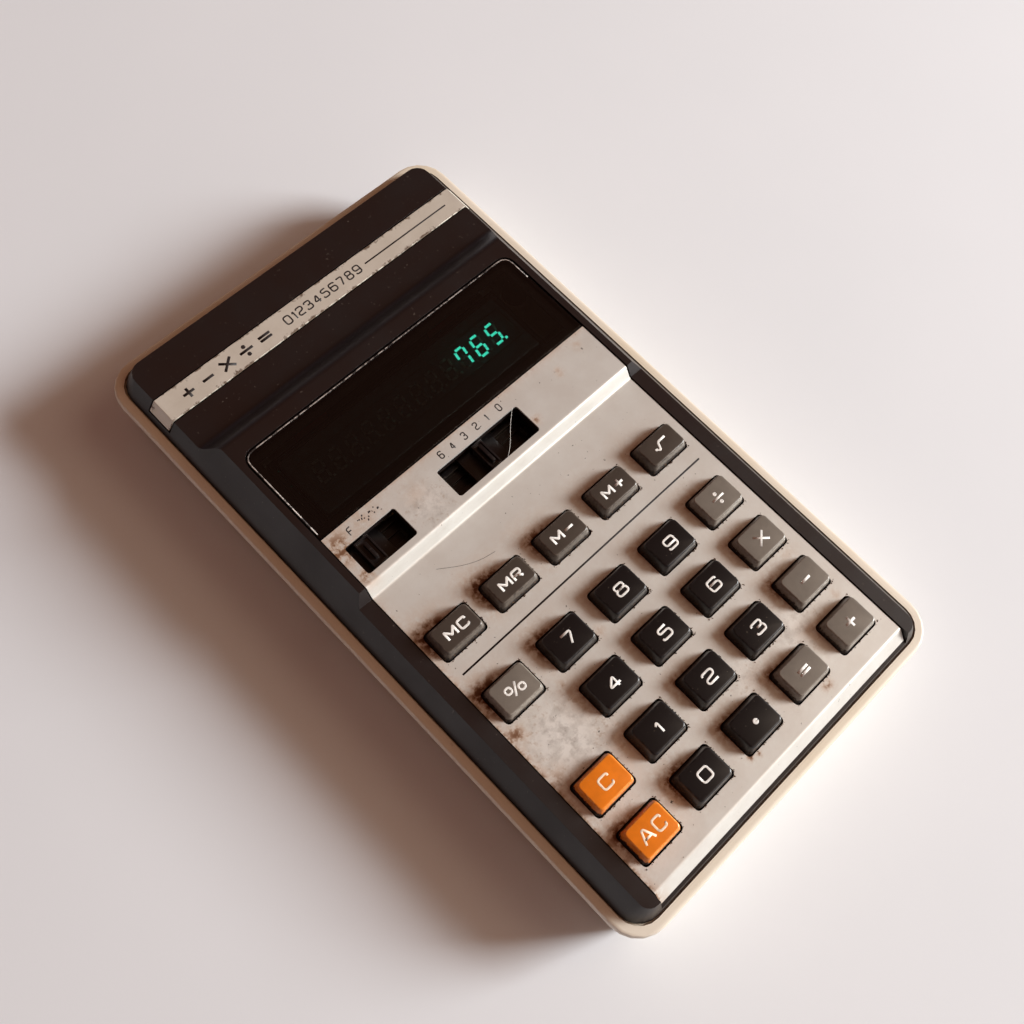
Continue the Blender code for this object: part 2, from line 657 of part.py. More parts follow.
def make_keys(looks):
    for name, x, y, row in key_places():
        tone = "orange" if name in ORANGE_KEYS else "grey" if name in GREY_KEYS else "black"
        make_key(name, x, y, row, looks["umber" if row == 0 else tone])


def make_keyboard(board_look, sheet_look):
    """The keyboard's board and the rubber sheet of contact domes on it."""
    half_x = PLATE_HALF - 1.2 * MM
    front = FIRST_ROW_Y - KEY_FIRST_GAP - 3 * KEY_ROW_PITCH - 4.6 * MM
    pins = rods("pin_holes", pin_places(), PIN_RADIUS + GAP, 0, DISPLAY_TOP, sides=8)
    notches = rods("boss_notches", keyboard_bosses(), UPPER_BOSS + GAP, 0, DISPLAY_TOP)
    back = SWITCH_Y + 5.3 * MM
    board = boxes(
        "keyboard_board", [((-half_x, front, BOARD_UNDER), (half_x, back, BOARD_TOP))], board_look)
    cut(board, pins, notches)
    sheet_under = SHEET_TOP - SHEET
    sheet_back = STEP_Y - 2 * MM
    sheet = boxes(
        "contact_sheet", [((-half_x, front, sheet_under), (half_x, sheet_back, SHEET_TOP))], sheet_look)
    cut(sheet, pins, notches)
    bm = bmesh.new()
    for _, x, y, _ in key_places():
        bmesh.ops.create_cone(
            bm, cap_ends=True, segments=8, radius1=DOME_RADIUS, radius2=DOME_RADIUS / 2,
            depth=DOME + SHEET / 2, matrix=Matrix.Translation((x, y, SHEET_TOP + DOME / 2 - SHEET / 4)))
    join(sheet, add("domes", bm), "UNION")


def make_main_board(looks):
    """The logic board with its chips, converter and capacitor."""
    half_x = CASE_WIDTH / 2 - MAIN_BOARD_INSET
    top = MAIN_BOARD_Z + MAIN_BOARD
    front = -CASE_LENGTH / 2 + 10 * MM
    board = ((-half_x, front, MAIN_BOARD_Z), (half_x, BAY_FRONT - BAY_WALL - GAP, top))
    boxes("main_board", [board], looks["board"])
    seat = top + GAP
    make_chip("processor_chip", -6 * MM, -33 * MM, 14, seat, looks["chip"])
    make_chip("driver_chip", -6 * MM, -8 * MM, 9, seat, looks["chip"])
    make_converter(seat, looks)
    radius = (BOARD_UNDER - seat) / 2 - GAP
    place = Matrix.Translation((20 * MM, -45 * MM, seat + radius)) @ Matrix.Rotation(pi / 2, 4, "X")
    length = 11 * MM
    profile = [(0, length / 2), (radius, length / 2), (radius, -length / 2), (0, -length / 2)]
    turned("filter_capacitor", profile, place, looks["sleeve"], steps=12)


def make_chip(name, x, y, pins_a_side, seat, look):
    """A dual in-line package lying along X, its pins bent down to the board."""
    pitch, pin, row_half = 2.54 * MM, 0.5 * MM, 5.6 * MM
    half = (pins_a_side * pitch / 2, 5 * MM)
    low, high = seat + 0.6 * MM, seat + 3.4 * MM
    chip = boxes(name, [((x - half[0], y - half[1], low), (x + half[0], y + half[1], high))], look)
    pins = []
    for side in (-1, 1):
        for i in range(pins_a_side):
            middle = x + (i - (pins_a_side - 1) / 2) * pitch
            ends = sorted((y + side * (half[1] - 0.4 * MM), y + side * row_half))
            pins.append((
                (middle - pin / 2, ends[0], seat), (middle + pin / 2, ends[1], low + 0.8 * MM)))
    return join(chip, boxes(name + "_pins", pins), "UNION")


def make_converter(seat, looks):
    """The small ferrite transformer that lifts the cells' voltage, under a staked pin's tail."""
    x, y = 19 * MM, -20 * MM
    half = (6 * MM, 5 * MM)
    top = PIN_FOOT - GAP
    core = boxes(
        "converter_transformer",
        [((x - half[0], y - half[1], seat), (x + half[0], y + half[1], top))], looks["ferrite"])
    waist = 1.2 * MM
    notches = []
    for side in (-1, 1):
        ends = sorted((y + side * (half[1] - waist), y + side * (half[1] + MM)))
        notches.append(((x - half[0] / 2, ends[0], seat - MM), (x + half[0] / 2, ends[1], top + MM)))
    return cut(core, boxes("winding_notches", notches))


def make_display(looks):
    """The smoked window, the fluorescent tube under it and the frame that carries the tube."""
    window_solid("display_window", 0, WINDOW_TOP - WINDOW, WINDOW_TOP, looks["window"])
    x0, x1 = TUBE_SHIFT - TUBE_WIDTH / 2, TUBE_SHIFT + TUBE_WIDTH / 2
    y0, y1 = TUBE_Y - TUBE_LENGTH / 2, TUBE_Y + TUBE_LENGTH / 2
    tube_low = TUBE_TOP - TUBE_HEIGHT
    boxes("display_tube", [((x0, y0, tube_low), (x1, y1, TUBE_TOP))], looks["glass"])
    wall = GAP + HOLDER_WALL
    seat = MAIN_BOARD_Z + MAIN_BOARD + GAP
    floor = tube_low - GAP
    frame = ((x0 - wall, y0 - wall, seat), (x1 + wall, y1 + wall, tube_low + 2 * MM))
    holder = boxes("display_holder", [frame], looks["black"])
    pocket = ((x0 - GAP, y0 - GAP, floor), (x1 + GAP, y1 + GAP, TUBE_TOP))
    below = ((x0 - GAP, y0 - GAP, 0), (x1 + GAP, y1 + GAP, floor - HOLDER_WALL))
    return cut(holder, boxes("tube_pocket", [pocket]), boxes("holder_under", [below]))


def make_selector(name, x, travel, knob_width, looks):
    """A selector's body on the keyboard board, and its knob with a grip ridge and a guide foot."""
    body_top = BOARD_TOP + GAP + SWITCH_BODY
    foot_x, foot_y, foot_z = (KNOB_FOOT[0] / 2, KNOB_FOOT[1] / 2, KNOB_FOOT[2])
    body_half = foot_y - 0.4 * MM
    boxes(f"{name}_switch_body", [(
        (x - travel[0] - foot_x, SWITCH_Y - body_half, BOARD_TOP + GAP),
        (x + travel[1] + foot_x, SWITCH_Y + body_half, body_top))], looks["switch"])
    foot = body_top + GAP
    top = DISPLAY_TOP - KNOB_SUNK
    half_y = KNOB_LENGTH / 2
    guide = ((x - foot_x, SWITCH_Y - foot_y, foot), (x + foot_x, SWITCH_Y + foot_y, foot + foot_z))
    knob = boxes(f"{name}_switch_knob", [guide], looks["black"])
    half_x = knob_width / 2
    stem = (
        (x - half_x, SWITCH_Y - half_y, foot + foot_z / 2), (x + half_x, SWITCH_Y + half_y, top))
    ridge_x, ridge_y = knob_width / 7, half_y - MM
    ridge = (
        (x - ridge_x, SWITCH_Y - ridge_y, top - MM),
        (x + ridge_x, SWITCH_Y + ridge_y, top + KNOB_RIDGE))
    join(knob, boxes(f"{name}_stem", [stem]), "UNION")
    return join(knob, boxes(f"{name}_ridge", [ridge]), "UNION")


def make_power_switch(looks):
    """A slide switch behind the right-hand wall; its knob stays inside the rim's overhang."""
    body_x = inner_wall(POWER_Z - POWER_KNOB[1]) - POWER_FOOT - GAP
    y0, y1 = POWER_Y - POWER_TRAVEL, POWER_Y
    middle = (y0 + y1) / 2
    boxes("power_switch_body", [(
        (body_x - POWER_BODY[0], middle - POWER_BODY[1] / 2, POWER_Z - POWER_BODY[2] / 2),
        (body_x, middle + POWER_BODY[1] / 2, POWER_Z + POWER_BODY[2] / 2))], looks["switch"])
    knob_y, knob_z = (side / 2 for side in POWER_KNOB)
    wide, tall = knob_y + MM, knob_z + 0.6 * MM  # the foot's own half width and half height
    foot = (
        (body_x + GAP, POWER_Y - wide, POWER_Z - tall),
        (body_x + POWER_FOOT - GAP, POWER_Y + wide, POWER_Z + tall))
    knob = boxes("power_switch_knob", [foot], looks["black"])
    stem = (
        (body_x + POWER_FOOT / 2, POWER_Y - knob_y, POWER_Z - knob_z),
        (CASE_WIDTH / 2 - POWER_SUNK, POWER_Y + knob_y, POWER_Z + knob_z))
    return join(knob, boxes("power_stem", [stem]), "UNION")


def make_jack(look):
    """The adapter jack in the left-hand wall: a block with a round bored nose."""
    half = [side / 2 for side in JACK_BODY]
    inner = -inner_wall(JACK_Z - half[2])
    body = boxes("adapter_jack", [(
        (inner + GAP, JACK_Y - half[1], JACK_Z - half[2]),
        (inner + GAP + JACK_BODY[0], JACK_Y + half[1], JACK_Z + half[2]))], look)
    nose_end = -CASE_WIDTH / 2 + 1.6 * MM
    turn = Matrix.Rotation(pi / 2, 4, "Y")
    for name, radius, low, high, how in (
            ("jack_nose", JACK_NOSE, nose_end, inner + 2 * MM, "UNION"),
            ("jack_bore", JACK_BORE, nose_end - MM, inner + JACK_BODY[0] - MM, "DIFFERENCE")):
        bm = bmesh.new()
        place = Matrix.Translation(((low + high) / 2, JACK_Y, JACK_Z)) @ turn
        bmesh.ops.create_cone(
            bm, cap_ends=True, segments=16, radius1=radius, radius2=radius, depth=high - low, matrix=place)
        join(body, add(name, bm), how)
    return body


def make_battery_door(look):
    """The door's panel follows the underside and its rounded back edge; two rails hold it in."""
    half = (CASE_WIDTH / 2, CASE_LENGTH / 2)
    stations = []
    for step in range(4):
        turn = step / 3 * pi / 2
        stations.append((BOTTOM_TUCK - BOTTOM_ROUND * sin(turn), BOTTOM_ROUND * (1 - cos(turn))))
    bm = bmesh.new()
    loft(bm, [
        ring(half[0] - inset, half[1] - inset, CASE_CORNER - inset, z, 5) for inset, z in stations])
    door = add("battery_door", bm, look)
    front = BAY_FRONT + 2 * GAP
    panel = boxes("door_panel", [((-DOOR_HALF, front, -MM), (DOOR_HALF, CASE_LENGTH, FLOOR))])
    join(door, panel, "INTERSECT")
    reach = DOOR_HALF + RAIL_REACH
    back = CASE_LENGTH / 2 - BOTTOM_TUCK + BOTTOM_ROUND - GAP
    under, top = FLOOR + GAP, FLOOR + GAP + RAIL_THICK
    for side in (-1, 1):
        section = [
            (reach - RAIL_WIDTH, FLOOR / 2), (DOOR_HALF - GAP, FLOOR / 2), (DOOR_HALF - GAP, under),
            (reach, under), (reach, top), (reach - RAIL_WIDTH, top)]
        section = [(side * x, z) for x, z in section]
        join(door, outline_solid(f"door_rail_{side + 1}", section, front + MM, back, plane="XZ"), "UNION")
    return door


def make_cells(looks):
    """Two AA cells lying across the case, head to tail, with their springs and contact plates."""
    radius = CELL_DIAMETER / 2
    nub_radius, nub = CELL_NUB
    top = BAY_HALF - GAP
    foot = top - CELL_LENGTH
    profile = [
        (0, top), (nub_radius, top), (nub_radius, top - nub), (radius - 0.6 * MM, top - nub),
        (radius, top - nub - 0.6 * MM), (radius, foot + 0.6 * MM), (radius - 0.6 * MM, foot), (0, foot)]
    for i, (y, side) in enumerate(zip(CELL_YS, (1, -1)), 1):
        place = Matrix.Translation((0, y, CELL_Z)) @ Matrix.Rotation(side * pi / 2, 4, "Y")
        turned(f"battery_cell_{i}", profile, place, looks["cell"], steps=20)
        make_spring(f"battery_spring_{i}", -side * (BAY_HALF - GAP), -side, y, looks["plated"])
    low, high = CELL_Z - 5 * MM, CELL_Z + 4 * MM
    half = 5 * MM
    first, second = CELL_YS
    for name, side, y0, y1 in (
            ("contact_link", -1, second - half, first + half),
            ("contact_plus", 1, first - half, first + half),
            ("contact_minus", 1, second - half, second + half)):
        ends = sorted((side * BAY_HALF, side * (BAY_HALF + CONTACT)))
        boxes(name, [((ends[0], y0, low), (ends[1], y1, high))], looks["plated"])


def make_spring(name, base_x, side, y, look):
    """A conical wire spring that stands on its contact plate and narrows towards the cell."""
    curve = bpy.data.curves.new(name, "CURVE")
    curve.dimensions = "3D"
    curve.bevel_depth = SPRING_WIRE
    curve.bevel_resolution = 1
    curve.use_fill_caps = True
    curve.materials.append(look)
    spline = curve.splines.new("POLY")
    count = SPRING_TURNS * 10
    spline.points.add(count)
    run = SPRING_LENGTH - 2 * GAP - 2 * SPRING_WIRE
    for i, point in enumerate(spline.points):
        share = i / count
        turn = share * SPRING_TURNS * 2 * pi
        radius = (4.6 - 2.2 * share) * MM
        x = base_x - side * (SPRING_WIRE + share * run)
        point.co = (x, y + radius * cos(turn), CELL_Z + radius * sin(turn), 1)
    made = bpy.data.objects.new(name, curve)
    PARTS.objects.link(made)
    return made


def make_screws(look):
    """Self-tapping screws up through the lower bosses into the upper ones."""
    head_radius, head = SCREW_HEAD
    neck = SCREW_SUNK + head
    profile = [
        (0, neck + SCREW_LENGTH), (SCREW_SHANK, neck + SCREW_LENGTH - MM), (SCREW_SHANK, neck),
        (head_radius, neck), (head_radius, neck - 0.7 * head), (head_radius * 0.7, SCREW_SUNK),
        (0, SCREW_SUNK)]
    for i, (x, y) in enumerate(screw_places(), 1):
        turned(f"case_screw_{i}", profile, Matrix.Translation((x, y, 0)), look, steps=12)


PARTS, CUTTERS = start_scene()
LOOKS = {
    "cream": material("cream_abs", (0.74, 0.70, 0.62), 0.45),
    "black": material("black_abs", (0.018, 0.015, 0.014), 0.35),
    "aluminium": material("satin_aluminium", (0.55, 0.52, 0.48), 0.38, 0.9),
    "window": material("smoked_acrylic", (0.01, 0.012, 0.012), 0.08, alpha=0.5),
    "glass": material("tube_glass", (0.05, 0.06, 0.06), 0.1),
    "umber": material("umber_key", (0.065, 0.055, 0.045), 0.4),
    "grey_key": material("grey_key", (0.16, 0.14, 0.12), 0.4),
    "black_key": material("black_key", (0.01, 0.011, 0.014), 0.35),
    "orange_key": material("orange_key", (0.83, 0.2, 0.01), 0.4),
    "board": material("phenolic_board", (0.32, 0.2, 0.08), 0.6),
    "sheet": material("contact_rubber", (0.12, 0.12, 0.12), 0.8),
    "chip": material("chip_epoxy", (0.02, 0.02, 0.02), 0.6),
    "ferrite": material("ferrite", (0.05, 0.05, 0.055), 0.5),
    "sleeve": material("capacitor_sleeve", (0.03, 0.06, 0.2), 0.4),
    "switch": material("switch_steel", (0.5, 0.5, 0.5), 0.35, 1.0),
    "cell": material("cell_jacket", (0.25, 0.03, 0.02), 0.35, 0.4),
    "plated": material("nickel_plate", (0.6, 0.57, 0.5), 0.25, 1.0),
    "screw": material("zinc_screw", (0.55, 0.55, 0.52), 0.3, 1.0),
}

make_bottom_case(LOOKS["cream"])
make_top_case(LOOKS["black"])
make_face_plate(LOOKS["aluminium"])
make_trim_strip(LOOKS["aluminium"])
make_display(LOOKS)
make_keys({
    "umber": LOOKS["umber"], "grey": LOOKS["grey_key"],
    "black": LOOKS["black_key"], "orange": LOOKS["orange_key"]})
make_keyboard(LOOKS["board"], LOOKS["sheet"])
make_main_board(LOOKS)
make_selector("rounding", ROUNDING_KNOB_X, (0, ROUNDING_TRAVEL), ROUNDING_KNOB, LOOKS)
make_selector("decimal", DECIMAL_KNOB_X, (DECIMAL_LEFT, DECIMAL_RIGHT), DECIMAL_KNOB, LOOKS)
make_power_switch(LOOKS)
make_jack(LOOKS["black"])
make_battery_door(LOOKS["cream"])
make_cells(LOOKS)
make_screws(LOOKS["screw"])
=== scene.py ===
"""The looks of a worn pocket calculator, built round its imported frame: rounded and weathered shells,
a pierced sheet-metal face, keys with inlaid legends and a fluorescent display, on a pale floor."""

import random
from math import cos, exp, hypot, pi, radians, sin, tan

import bmesh
import bpy
from mathutils import Euler, Matrix, Vector


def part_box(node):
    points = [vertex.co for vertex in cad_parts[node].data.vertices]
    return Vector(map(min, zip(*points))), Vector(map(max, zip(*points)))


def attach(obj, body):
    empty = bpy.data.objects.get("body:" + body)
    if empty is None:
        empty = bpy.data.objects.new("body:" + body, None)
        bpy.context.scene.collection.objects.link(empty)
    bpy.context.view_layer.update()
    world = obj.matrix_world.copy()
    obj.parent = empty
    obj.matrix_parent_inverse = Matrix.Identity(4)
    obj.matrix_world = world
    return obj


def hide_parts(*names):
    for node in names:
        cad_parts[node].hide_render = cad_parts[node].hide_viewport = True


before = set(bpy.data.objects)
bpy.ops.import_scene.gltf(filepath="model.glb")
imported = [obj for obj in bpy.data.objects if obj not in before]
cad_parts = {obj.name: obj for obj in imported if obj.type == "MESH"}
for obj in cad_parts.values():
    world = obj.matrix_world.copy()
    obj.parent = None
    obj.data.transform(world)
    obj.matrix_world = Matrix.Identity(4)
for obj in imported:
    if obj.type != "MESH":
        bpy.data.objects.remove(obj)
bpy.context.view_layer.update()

MM = 0.001
NEAR = 0.01 * MM  # two places this close together count as one
DOUBLE = 0.002 * MM  # vertices this close together are merged

# Camera and light
CAMERA_AT = (-82.15 * MM, -50.3 * MM, 234.2 * MM)
CAMERA_TURN = (22.58, -5.83, -44.43)  # degrees about X, Y and Z
CAMERA_LENS = 42.5
WINDOW_LIGHT = {"at": (1.43, -1.08, 0.88), "size": 0.65, "power": 64.0, "colour": "#FAFDFF"}
SKY_TOP = (0.168, 0.068, 0.038)
SKY_LOW = (0.095, 0.088, 0.115)
SKY_BAND = (1.35, 1.34, 1.32)
ROOM_LIGHT = {"at": (1.07, -0.81, 1.49), "size": 1.2, "power": 6.6, "colour": "#FFE2C4"}

# Face plate
SHEET = 0.5 * MM
GRID = 0.55 * MM  # spacing of the plate's mesh, fine enough to carry its stains and painted key shadows
BEND = 0.35 * MM
STEP_FOOT = 3.4 * MM
STEP_RUN = 1.7 * MM
FACET_RUN = 2.1 * MM
BEZEL = 0.3 * MM  # gap round each key
HOLE_CORNER = 0.9 * MM
SWITCH_LENGTH = 7.0 * MM
SWITCH_Y = 10.2 * MM
ROUNDING_WINDOW = (-33.1 * MM, -20.7 * MM)
DECIMAL_WINDOW = (-9.7 * MM, 12.0 * MM)

# Keys
PLATE_TOP = 19.5 * MM
KEY_HEIGHT = 2.5 * MM  # above the plate
FLANGE = 0.75 * MM
FLANGE_THICK = 0.8 * MM
FOOT_DEPTH = 0.4 * MM
FOOT_HALF = 1.6 * MM
KEY_CORNER = 0.85 * MM
KEY_ROUND = 0.28 * MM
MEMORY_FACE = (8.9 * MM, 5.3 * MM)
NUMBER_FACE = (8.45 * MM, 6.25 * MM)
LEGEND_RELIEF = 0.03 * MM
KEY_TONES = {  # the other keys are black
    "umber": ("mc", "mr", "m_minus", "m_plus", "root"),
    "grey": ("percent", "divide", "multiply", "minus", "plus", "equals"),
    "orange": ("c", "ac")}
LEGENDS = {
    "mc": "MC", "mr": "MR", "m_minus": "M-", "m_plus": "M+", "root": "r", "percent": "%",
    "divide": "/", "multiply": "x", "minus": "-", "plus": "+", "equals": "=", "point": ".",
    "c": "C", "ac": "AC"}

# Print
PRINT_RELIEF = 0.012 * MM
SCALE_HEIGHT = 1.85 * MM
SCALE_STROKE = 0.27 * MM
RULE_Y = -18.5 * MM
RULE_ENDS = (-32.9 * MM, 32.5 * MM)

# Display and trim strip
STRIP_Y = 59.5 * MM
DIGITS = 12
DIGIT_PITCH = 4.255 * MM
FIRST_DIGIT = -24.7 * MM
DIGIT_Y = 29.9 * MM
DIGIT_SIZE = (2.75 * MM, 5.1 * MM)
DIGIT_SLANT = 10.0
SEGMENT = 0.56 * MM
DIGIT_DEPTH = 1.5 * MM  # from the tube's top to its segments

# Strokes on a box one wide and one high, with the box's width for a height of one. A stroke that
# ends where it starts is a closed loop.
ROUNDED, POINTED = 0.22, 0.05  # radius of a stroke's turns, as a share of the height
GLYPHS = {
    "0": (1.08, [[(0, 0), (1, 0), (1, 1), (0, 1), (0, 0)]]),
    "1": (0.42, [[(0, 0.72), (1, 1), (1, 0)]]),
    "2": (1.05, [[(0, 0.8), (0, 1), (1, 1), (1, 0.52), (0, 0.4), (0, 0), (1, 0)]]),
    "3": (1.05, [[(0, 0.8), (0, 1), (1, 1), (0.9, 0.52), (0.35, 0.52)],
                 [(0.9, 0.52), (1, 0.45), (1, 0), (0, 0), (0, 0.2)]]),
    "4": (1.1, [[(0.72, 0), (0.72, 1), (0, 0.24), (1, 0.24)]]),
    "5": (1.08, [[(0.95, 1), (0.08, 1), (0.02, 0.6), (1, 0.6), (1, 0), (0, 0), (0, 0.2)]]),
    "6": (1.08, [[(0.95, 0.82), (0.95, 1), (0, 1), (0, 0), (1, 0), (1, 0.58), (0, 0.58)]]),
    "7": (1.05, [[(0, 1), (1, 1), (0.42, 0)]]),
    "8": (1.08, [[(0.06, 0.54), (0.94, 0.54), (0.94, 1), (0.06, 1), (0.06, 0.54)],
                 [(0, 0.54), (0, 0), (1, 0), (1, 0.54), (0, 0.54)]]),
    "9": (1.08, [[(0.05, 0.18), (0.05, 0), (1, 0), (1, 1), (0, 1), (0, 0.42), (1, 0.42)]]),
    "A": (1.2, [[(0, 0), (0.42, 1), (0.58, 1), (1, 0)], [(0.16, 0.34), (0.84, 0.34)]]),
    "C": (1.0, [[(1, 0.74), (1, 1), (0, 1), (0, 0), (1, 0), (1, 0.26)]]),
    "F": (0.8, [[(0, 0), (0, 1), (1, 1)], [(0, 0.52), (0.8, 0.52)]]),
    "M": (1.2, [[(0, 0), (0, 1), (0.5, 0.3), (1, 1), (1, 0)]]),
    "R": (1.06, [[(0, 0), (0, 1), (1, 1), (1, 0.46), (0, 0.46)], [(0.5, 0.46), (1, 0)]]),
    "r": (1.85, [[(0, 0.34), (0.1, 0.46), (0.26, 0), (0.46, 1), (1, 1)]]),
    "%": (1.6, [[(0, 0.44), (0.34, 0.44), (0.34, 0.98), (0, 0.98), (0, 0.44)],
                [(0.66, 0.02), (1, 0.02), (1, 0.56), (0.66, 0.56), (0.66, 0.02)],
                [(0.3, -0.02), (0.7, 1.02)]]),
    "x": (1.15, [[(0, 0), (1, 1)], [(0, 1), (1, 0)]]),
    "-": (1.1, [[(0, 0.5), (1, 0.5)]]),
    "+": (1.1, [[(0, 0.5), (1, 0.5)], [(0.5, 0), (0.5, 1)]]),
    "=": (1.2, [[(0, 0.32), (1, 0.32)], [(0, 0.68), (1, 0.68)]]),
    "/": (1.3, [[(0, 0.5), (1, 0.5)], [(0.5, 0.94)], [(0.5, 0.06)]], 0.33),
    ".": (0.5, [[(0.5, 0.5)]], 0.46),
}

COLOUR = {"out": 2, "data_type": "RGBA"}  # a Mix node's settings for colours


# ---- camera, floor and light

def srgb(code):
    """A hex sRGB colour as linear RGBA."""
    found = []
    for start in (1, 3, 5):
        value = int(code[start:start + 2], 16) / 255
        found.append(value / 12.92 if value <= 0.04045 else ((value + 0.055) / 1.055) ** 2.4)
    return (*found, 1.0)


def place_camera():
    data = bpy.data.cameras.new("camera")
    data.lens = CAMERA_LENS
    data.clip_start = 10 * MM
    camera = bpy.data.objects.new("camera", data)
    camera.location = CAMERA_AT
    camera.rotation_euler = Euler([radians(turn) for turn in CAMERA_TURN])
    bpy.context.scene.collection.objects.link(camera)
    bpy.context.scene.camera = camera


def place_light(name, at, size, power, colour):
    """A soft square panel that faces the object."""
    data = bpy.data.lights.new(name, "AREA")
    data.size = size
    data.energy = power
    data.color = srgb(colour)[:3]
    lamp = bpy.data.objects.new(name, data)
    lamp.location = at
    lamp.rotation_euler = Vector(at).to_track_quat("Z", "Y").to_euler()
    bpy.context.scene.collection.objects.link(lamp)


def place_sky():
    """A dim warm room with a bright band low down on the window's side."""
    world = bpy.data.worlds.new("room")
    bpy.context.scene.world = world
    world.use_nodes = True
    world.node_tree.nodes.clear()
    way = add(world, "TexCoord", out="Generated")
    height = add(world, "SeparateXYZ", {"Vector": way}, out="Z")
    side = add(world, "VectorMath", {0: way, 1: (0.5, -0.86, 0.0)}, out="Value", operation="DOT_PRODUCT")
    facing = add(world, "MapRange", {"Value": side, "From Min": 0.35, "From Max": 0.95})
    low = add(world, "MapRange", {"Value": height, "From Min": 0.55, "From Max": 0.1})
    band = add(world, "Math", {0: facing, 1: low}, operation="MULTIPLY")
    dusk = add(world, "Mix", {0: low, 6: (*SKY_TOP, 1), 7: (*SKY_LOW, 1)}, **COLOUR)
    tint = add(world, "Mix", {0: band, 6: dusk, 7: (*SKY_BAND, 1)}, **COLOUR)
    glow = add(world, "Background", {"Color": tint, "Strength": 1.0})
    add(world, "OutputWorld", {"Surface": glow})


def make_floor():
    """Plain matt paper under the object."""
    clear()
    bpy.ops.mesh.primitive_plane_add(size=4, location=(0, 0, -0.05 * MM))
    floor = bpy.context.object
    floor.name = "floor"
    look, place = new_look("matt_paper")
    cloud = add(look, "TexNoise", {"Vector": place, "Scale": 1 / (60 * MM), "Detail": 3.0})
    tone = add(look, "Mix", {0: cloud, 6: "#E4E6E9", 7: "#DEE1E4"}, **COLOUR)
    fibre = add(look, "TexNoise", {"Vector": place, "Scale": 1 / (0.9 * MM), "Detail": 5.0})
    relief = add(look, "Bump", {"Height": fibre, "Strength": 0.12, "Distance": 0.05 * MM})
    finish(look, {"Base Color": tone, "Roughness": 0.9, "Normal": relief})
    floor.data.materials.append(look)


# ---- modelling helpers

def corners(node):
    """The low and the high corner of a node's box."""
    return [Vector(corner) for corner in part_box(node)]


def clear():
    """Object mode with nothing selected."""
    if bpy.context.object and bpy.context.object.mode != "OBJECT":
        bpy.ops.object.mode_set(mode="OBJECT")
    bpy.ops.object.select_all(action="DESELECT")


def take(*pieces):
    clear()
    for piece in pieces:
        piece.select_set(True)
    bpy.context.view_layer.objects.active = pieces[0]


def edit(piece):
    take(piece)
    bpy.ops.object.mode_set(mode="EDIT")


def leave():
    bpy.ops.object.mode_set(mode="OBJECT")


def pick(piece, kind, test):
    """In edit mode, selects the faces, edges or vertices that pass a test and nothing else."""
    bpy.ops.mesh.select_mode(type=kind)
    bpy.ops.mesh.select_all(action="DESELECT")
    form = bmesh.from_edit_mesh(piece.data)
    items = {"FACE": form.faces, "EDGE": form.edges, "VERT": form.verts}[kind]
    for item in items:
        item.select_set(bool(test(item)))
    form.select_flush_mode()
    bmesh.update_edit_mesh(piece.data)


def extrude(x=0.0, y=0.0, z=0.0):
    bpy.ops.mesh.extrude_region_move(TRANSFORM_OT_translate={"value": (x, y, z)})


def applied(piece, kind, **settings):
    """Adds a modifier with its settings and applies it."""
    take(piece)
    modifier = piece.modifiers.new(kind.lower(), kind)
    for key, value in settings.items():
        setattr(modifier, key, value)
    bpy.ops.object.modifier_apply(modifier=modifier.name)


def rounded_edges(piece, width, angle=35, segments=2):
    """Bevels every edge sharper than an angle and keeps the flat faces flat in their shading."""
    applied(
        piece, "BEVEL", width=width, segments=segments, limit_method="ANGLE",
        angle_limit=radians(angle), use_clamp_overlap=True, harden_normals=False)
    smooth(piece)
    applied(piece, "WEIGHTED_NORMAL", keep_sharp=True)


def smooth(piece, angle=32):
    take(piece)
    bpy.ops.object.shade_smooth_by_angle(angle=radians(angle))
    return piece


def outward(piece):
    """Merges doubles and turns every face outwards."""
    edit(piece)
    bpy.ops.mesh.select_all(action="SELECT")
    bpy.ops.mesh.remove_doubles(threshold=DOUBLE)
    bpy.ops.mesh.normals_make_consistent(inside=False)
    leave()
    return piece


def block(name, low, high):
    clear()
    size = Vector(high) - Vector(low)
    bpy.ops.mesh.primitive_cube_add(size=1, location=(Vector(high) + Vector(low)) / 2, scale=size)
    made = bpy.context.object
    made.name = made.data.name = name
    bpy.ops.object.transform_apply(location=True, rotation=True, scale=True)
    return made


def joined(first, *others):
    """One object from several, each with its own materials."""
    take(first, *others)
    bpy.ops.object.join()
    return first


def boolean(piece, other, operation):
    applied(piece, "BOOLEAN", object=other, operation=operation, solver="EXACT")
    bpy.data.objects.remove(other)


def round_block(name, low, high, corner):
    """A block with its four upright edges rounded."""
    made = block(name, low, high)
    edit(made)
    pick(made, "EDGE", lambda edge: abs(edge.verts[0].co.z - edge.verts[1].co.z) > NEAR)
    bpy.ops.mesh.bevel(offset=corner, segments=4, affect="EDGES")
    leave()
    return made


def copied(node, name):
    """A frame node's mesh as a new piece, its doubles merged and its flat faces whole."""
    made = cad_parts[node].copy()
    made.data = made.data.copy()
    made.name = made.data.name = name
    made.parent = None
    made.data.materials.clear()
    bpy.context.scene.collection.objects.link(made)
    edit(made)
    bpy.ops.mesh.select_all(action="SELECT")
    bpy.ops.mesh.remove_doubles(threshold=DOUBLE)
    bpy.ops.mesh.dissolve_limited(angle_limit=radians(0.5))
    leave()
    return made


def fit(piece, body, slot, look, *nodes):
    """Gives a piece its material and the body it rides on, and hides the nodes it stands for; the slot is
    not used.
    """
    piece.data.materials.clear()
    piece.data.materials.append(look)
    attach(piece, body)
    if nodes:
        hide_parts(*nodes)


def line(*ends):
    return [Vector(end) for end in ends], 1.0


